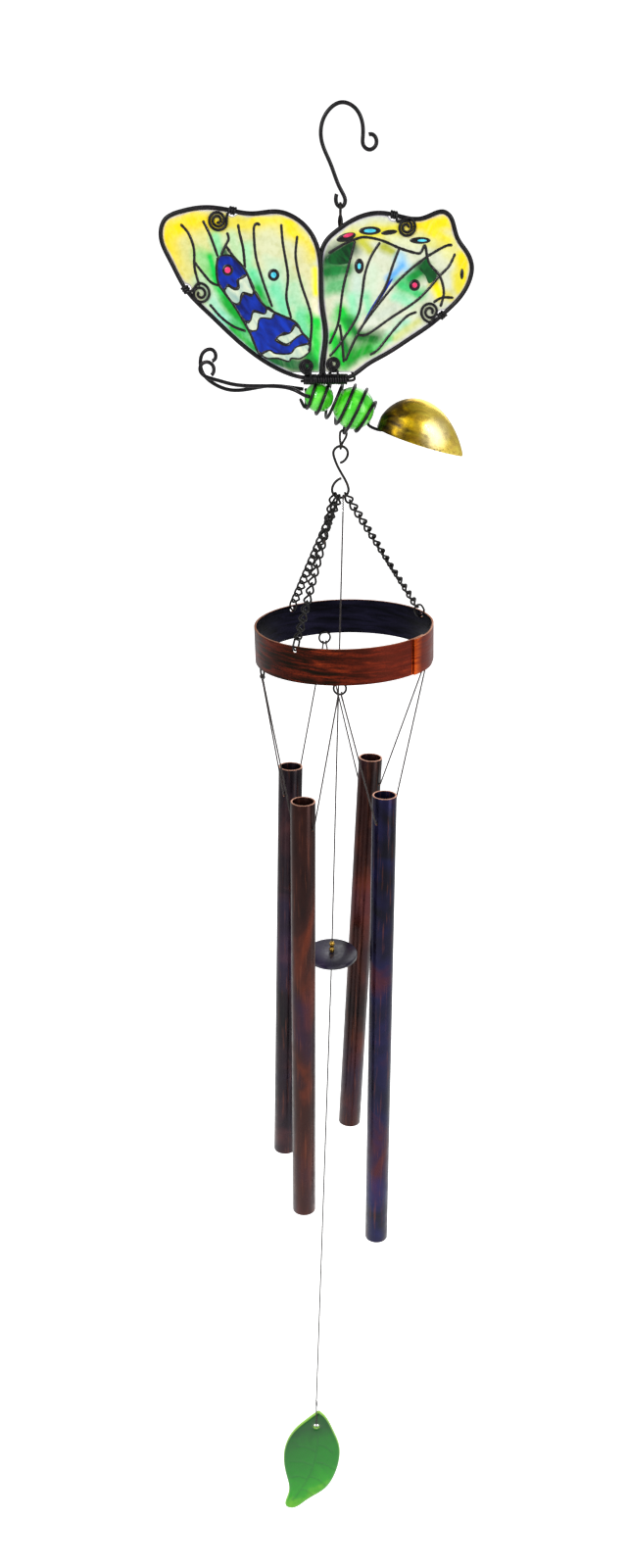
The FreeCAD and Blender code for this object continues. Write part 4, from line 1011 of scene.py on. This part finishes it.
# ---- the leaf ----------------------------------------------------------------------------
def glass_leaf():
    """A thick fused-glass leaf with a domed edge, and veins pressed into both faces."""
    low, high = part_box("glass_leaf")
    middle, half = (low.y + high.y) / 2, (high.y - low.y) / 2
    border = outline_of("glass_leaf")
    span = np.array([high.x - low.x, high.z - low.z])
    border = np.array([low.x, low.z]) + (border - border.min(0)) * span / np.ptp(border, axis=0)
    hole = (eye.x, eye.z, 1.5 * MM)
    verts, faces, depth = slab(border, middle, half, 2.6 * MM, 0.8 * MM, hole, 0.12 * MM, 7.0)
    made = build("glass_leaf_fused", [(verts, faces)], leaf_glass(), BODY_OF["glass_leaf"])
    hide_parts("glass_leaf")

    def at(u, v):
        return np.array([low.x + u * span[0], low.z + v * span[1]])

    stem = spaced([at(0.60, 0.84), at(0.60, 0.66), at(0.50, 0.42), at(0.34, 0.24), at(0.16, 0.10)], MM)
    veins = [stem]
    for a, b in (((0.60, 0.68), (0.86, 0.60)), ((0.58, 0.60), (0.24, 0.66)), ((0.54, 0.50), (0.90, 0.42)),
                 ((0.52, 0.46), (0.12, 0.50)), ((0.44, 0.35), (0.74, 0.26)), ((0.42, 0.32), (0.14, 0.34)),
                 ((0.30, 0.21), (0.52, 0.15))):
        bend = (at(*a) + at(*b)) / 2 + np.array([0, 1.5 * MM])
        veins.append(spaced([at(*a), bend, at(*b)], MM))
    tree = kdtree.KDTree(sum(len(v) for v in veins))
    for k, p in enumerate(np.vstack(veins)):
        tree.insert((p[0], p[1], 0), k)
    tree.balance()
    mesh = made.data
    vein = mesh.attributes.new("vein", "FLOAT", "POINT")
    rim = mesh.attributes.new("rim", "FLOAT", "POINT")
    near = np.array([tree.find((v.co.x, v.co.z, 0))[2] for v in mesh.vertices])
    dent = np.clip(1 - near / (1.3 * MM), 0, 1) ** 2
    vein.data.foreach_set("value", dent.astype(np.float32))
    # the rim attribute marks where the leaf glass gets its painted rim light
    rim.data.foreach_set("value", (np.clip(1 - depth / (0.7 * MM), 0, 1) * 0.9).astype(np.float32))
    for v, amount in zip(mesh.vertices, dent):
        v.co.y += (0.22 * MM if v.co.y < middle else -0.22 * MM) * float(amount)


glass_leaf()


# ---- studio ------------------------------------------------------------------------------
def floor_look():
    look = Look("studio_floor", Roughness=0.9)
    faint = look.noise(2.0, 2)
    seen = look.node("LightPath").outputs["Is Camera Ray"]
    look.put(look.shader.inputs["Emission Color"], (1, 1, 1, 1))
    look.put(look.shader.inputs["Emission Strength"], look.math("MULTIPLY", seen, 0.8))
    return look.use(look.ramp(faint, [(0.3, (0.9, 0.9, 0.9)), (0.7, (0.93, 0.93, 0.93))]))


bpy.ops.mesh.primitive_plane_add(size=40, location=(0, 12, CAD_BOX[0].z - 0.12))
floor = bpy.context.object
floor.name = "studio_floor"
floor.data.materials.append(floor_look())


def softbox(name, place, aim, size, power):
    light = bpy.data.lights.new(name, "AREA")
    light.shape = "RECTANGLE"
    light.size, light.size_y = size
    light.energy = power
    made = bpy.data.objects.new(name, light)
    bpy.context.scene.collection.objects.link(made)
    made.location = place
    made.rotation_euler = (Vector(aim) - Vector(place)).to_track_quat("-Z", "Y").to_euler()


softbox("key_light", (-0.9, -1.3, 0.6), (0, 0, -0.3), (0.9, 1.4), 13)
softbox("fill_light", (1.2, -1.0, 0.1), (0, 0, -0.35), (0.8, 1.4), 6)
softbox("left_spot", (-0.7, -1.1, 0.5), (0, 0, -0.2), (0.13, 0.13), 2.6)
softbox("right_spot", (0.75, -1.0, 0.35), (0, 0, -0.2), (0.10, 0.16), 2.2)
softbox("back_light", (0.5, 1.2, 0.7), (0, 0, -0.3), (1.2, 1.2), 8)

world = bpy.data.worlds.new("studio")
bpy.context.scene.world = world
world.use_nodes = True
tree = world.node_tree
background = tree.nodes["Background"]
background.inputs["Color"].default_value = (1, 1, 1, 1)
# white to the camera, and dimmer as a light on the chime
rays = tree.nodes.new("ShaderNodeLightPath")
seen, lit = (tree.nodes.new("ShaderNodeMath") for _ in range(2))
seen.operation = lit.operation = "MULTIPLY_ADD"
tree.links.new(rays.outputs["Is Camera Ray"], seen.inputs[0])
seen.inputs[1].default_value = 0.75
seen.inputs[2].default_value = 0.4
tree.links.new(rays.outputs["Is Diffuse Ray"], lit.inputs[0])
lit.inputs[1].default_value = 0.25
tree.links.new(seen.outputs[0], lit.inputs[2])
tree.links.new(lit.outputs[0], background.inputs["Strength"])

camera = bpy.data.objects.new("camera", bpy.data.cameras.new("camera"))
bpy.context.scene.collection.objects.link(camera)
camera.data.lens = 35
camera.data.sensor_width = 36
camera.data.sensor_fit = "AUTO"
camera.data.clip_start = 0.01
camera.location = (-0.0124, -0.7379, -0.0235)
camera.rotation_euler = (math.radians(67.8), 0, 0)
bpy.context.scene.camera = camera
bpy.context.scene.view_settings.view_transform = "Standard"
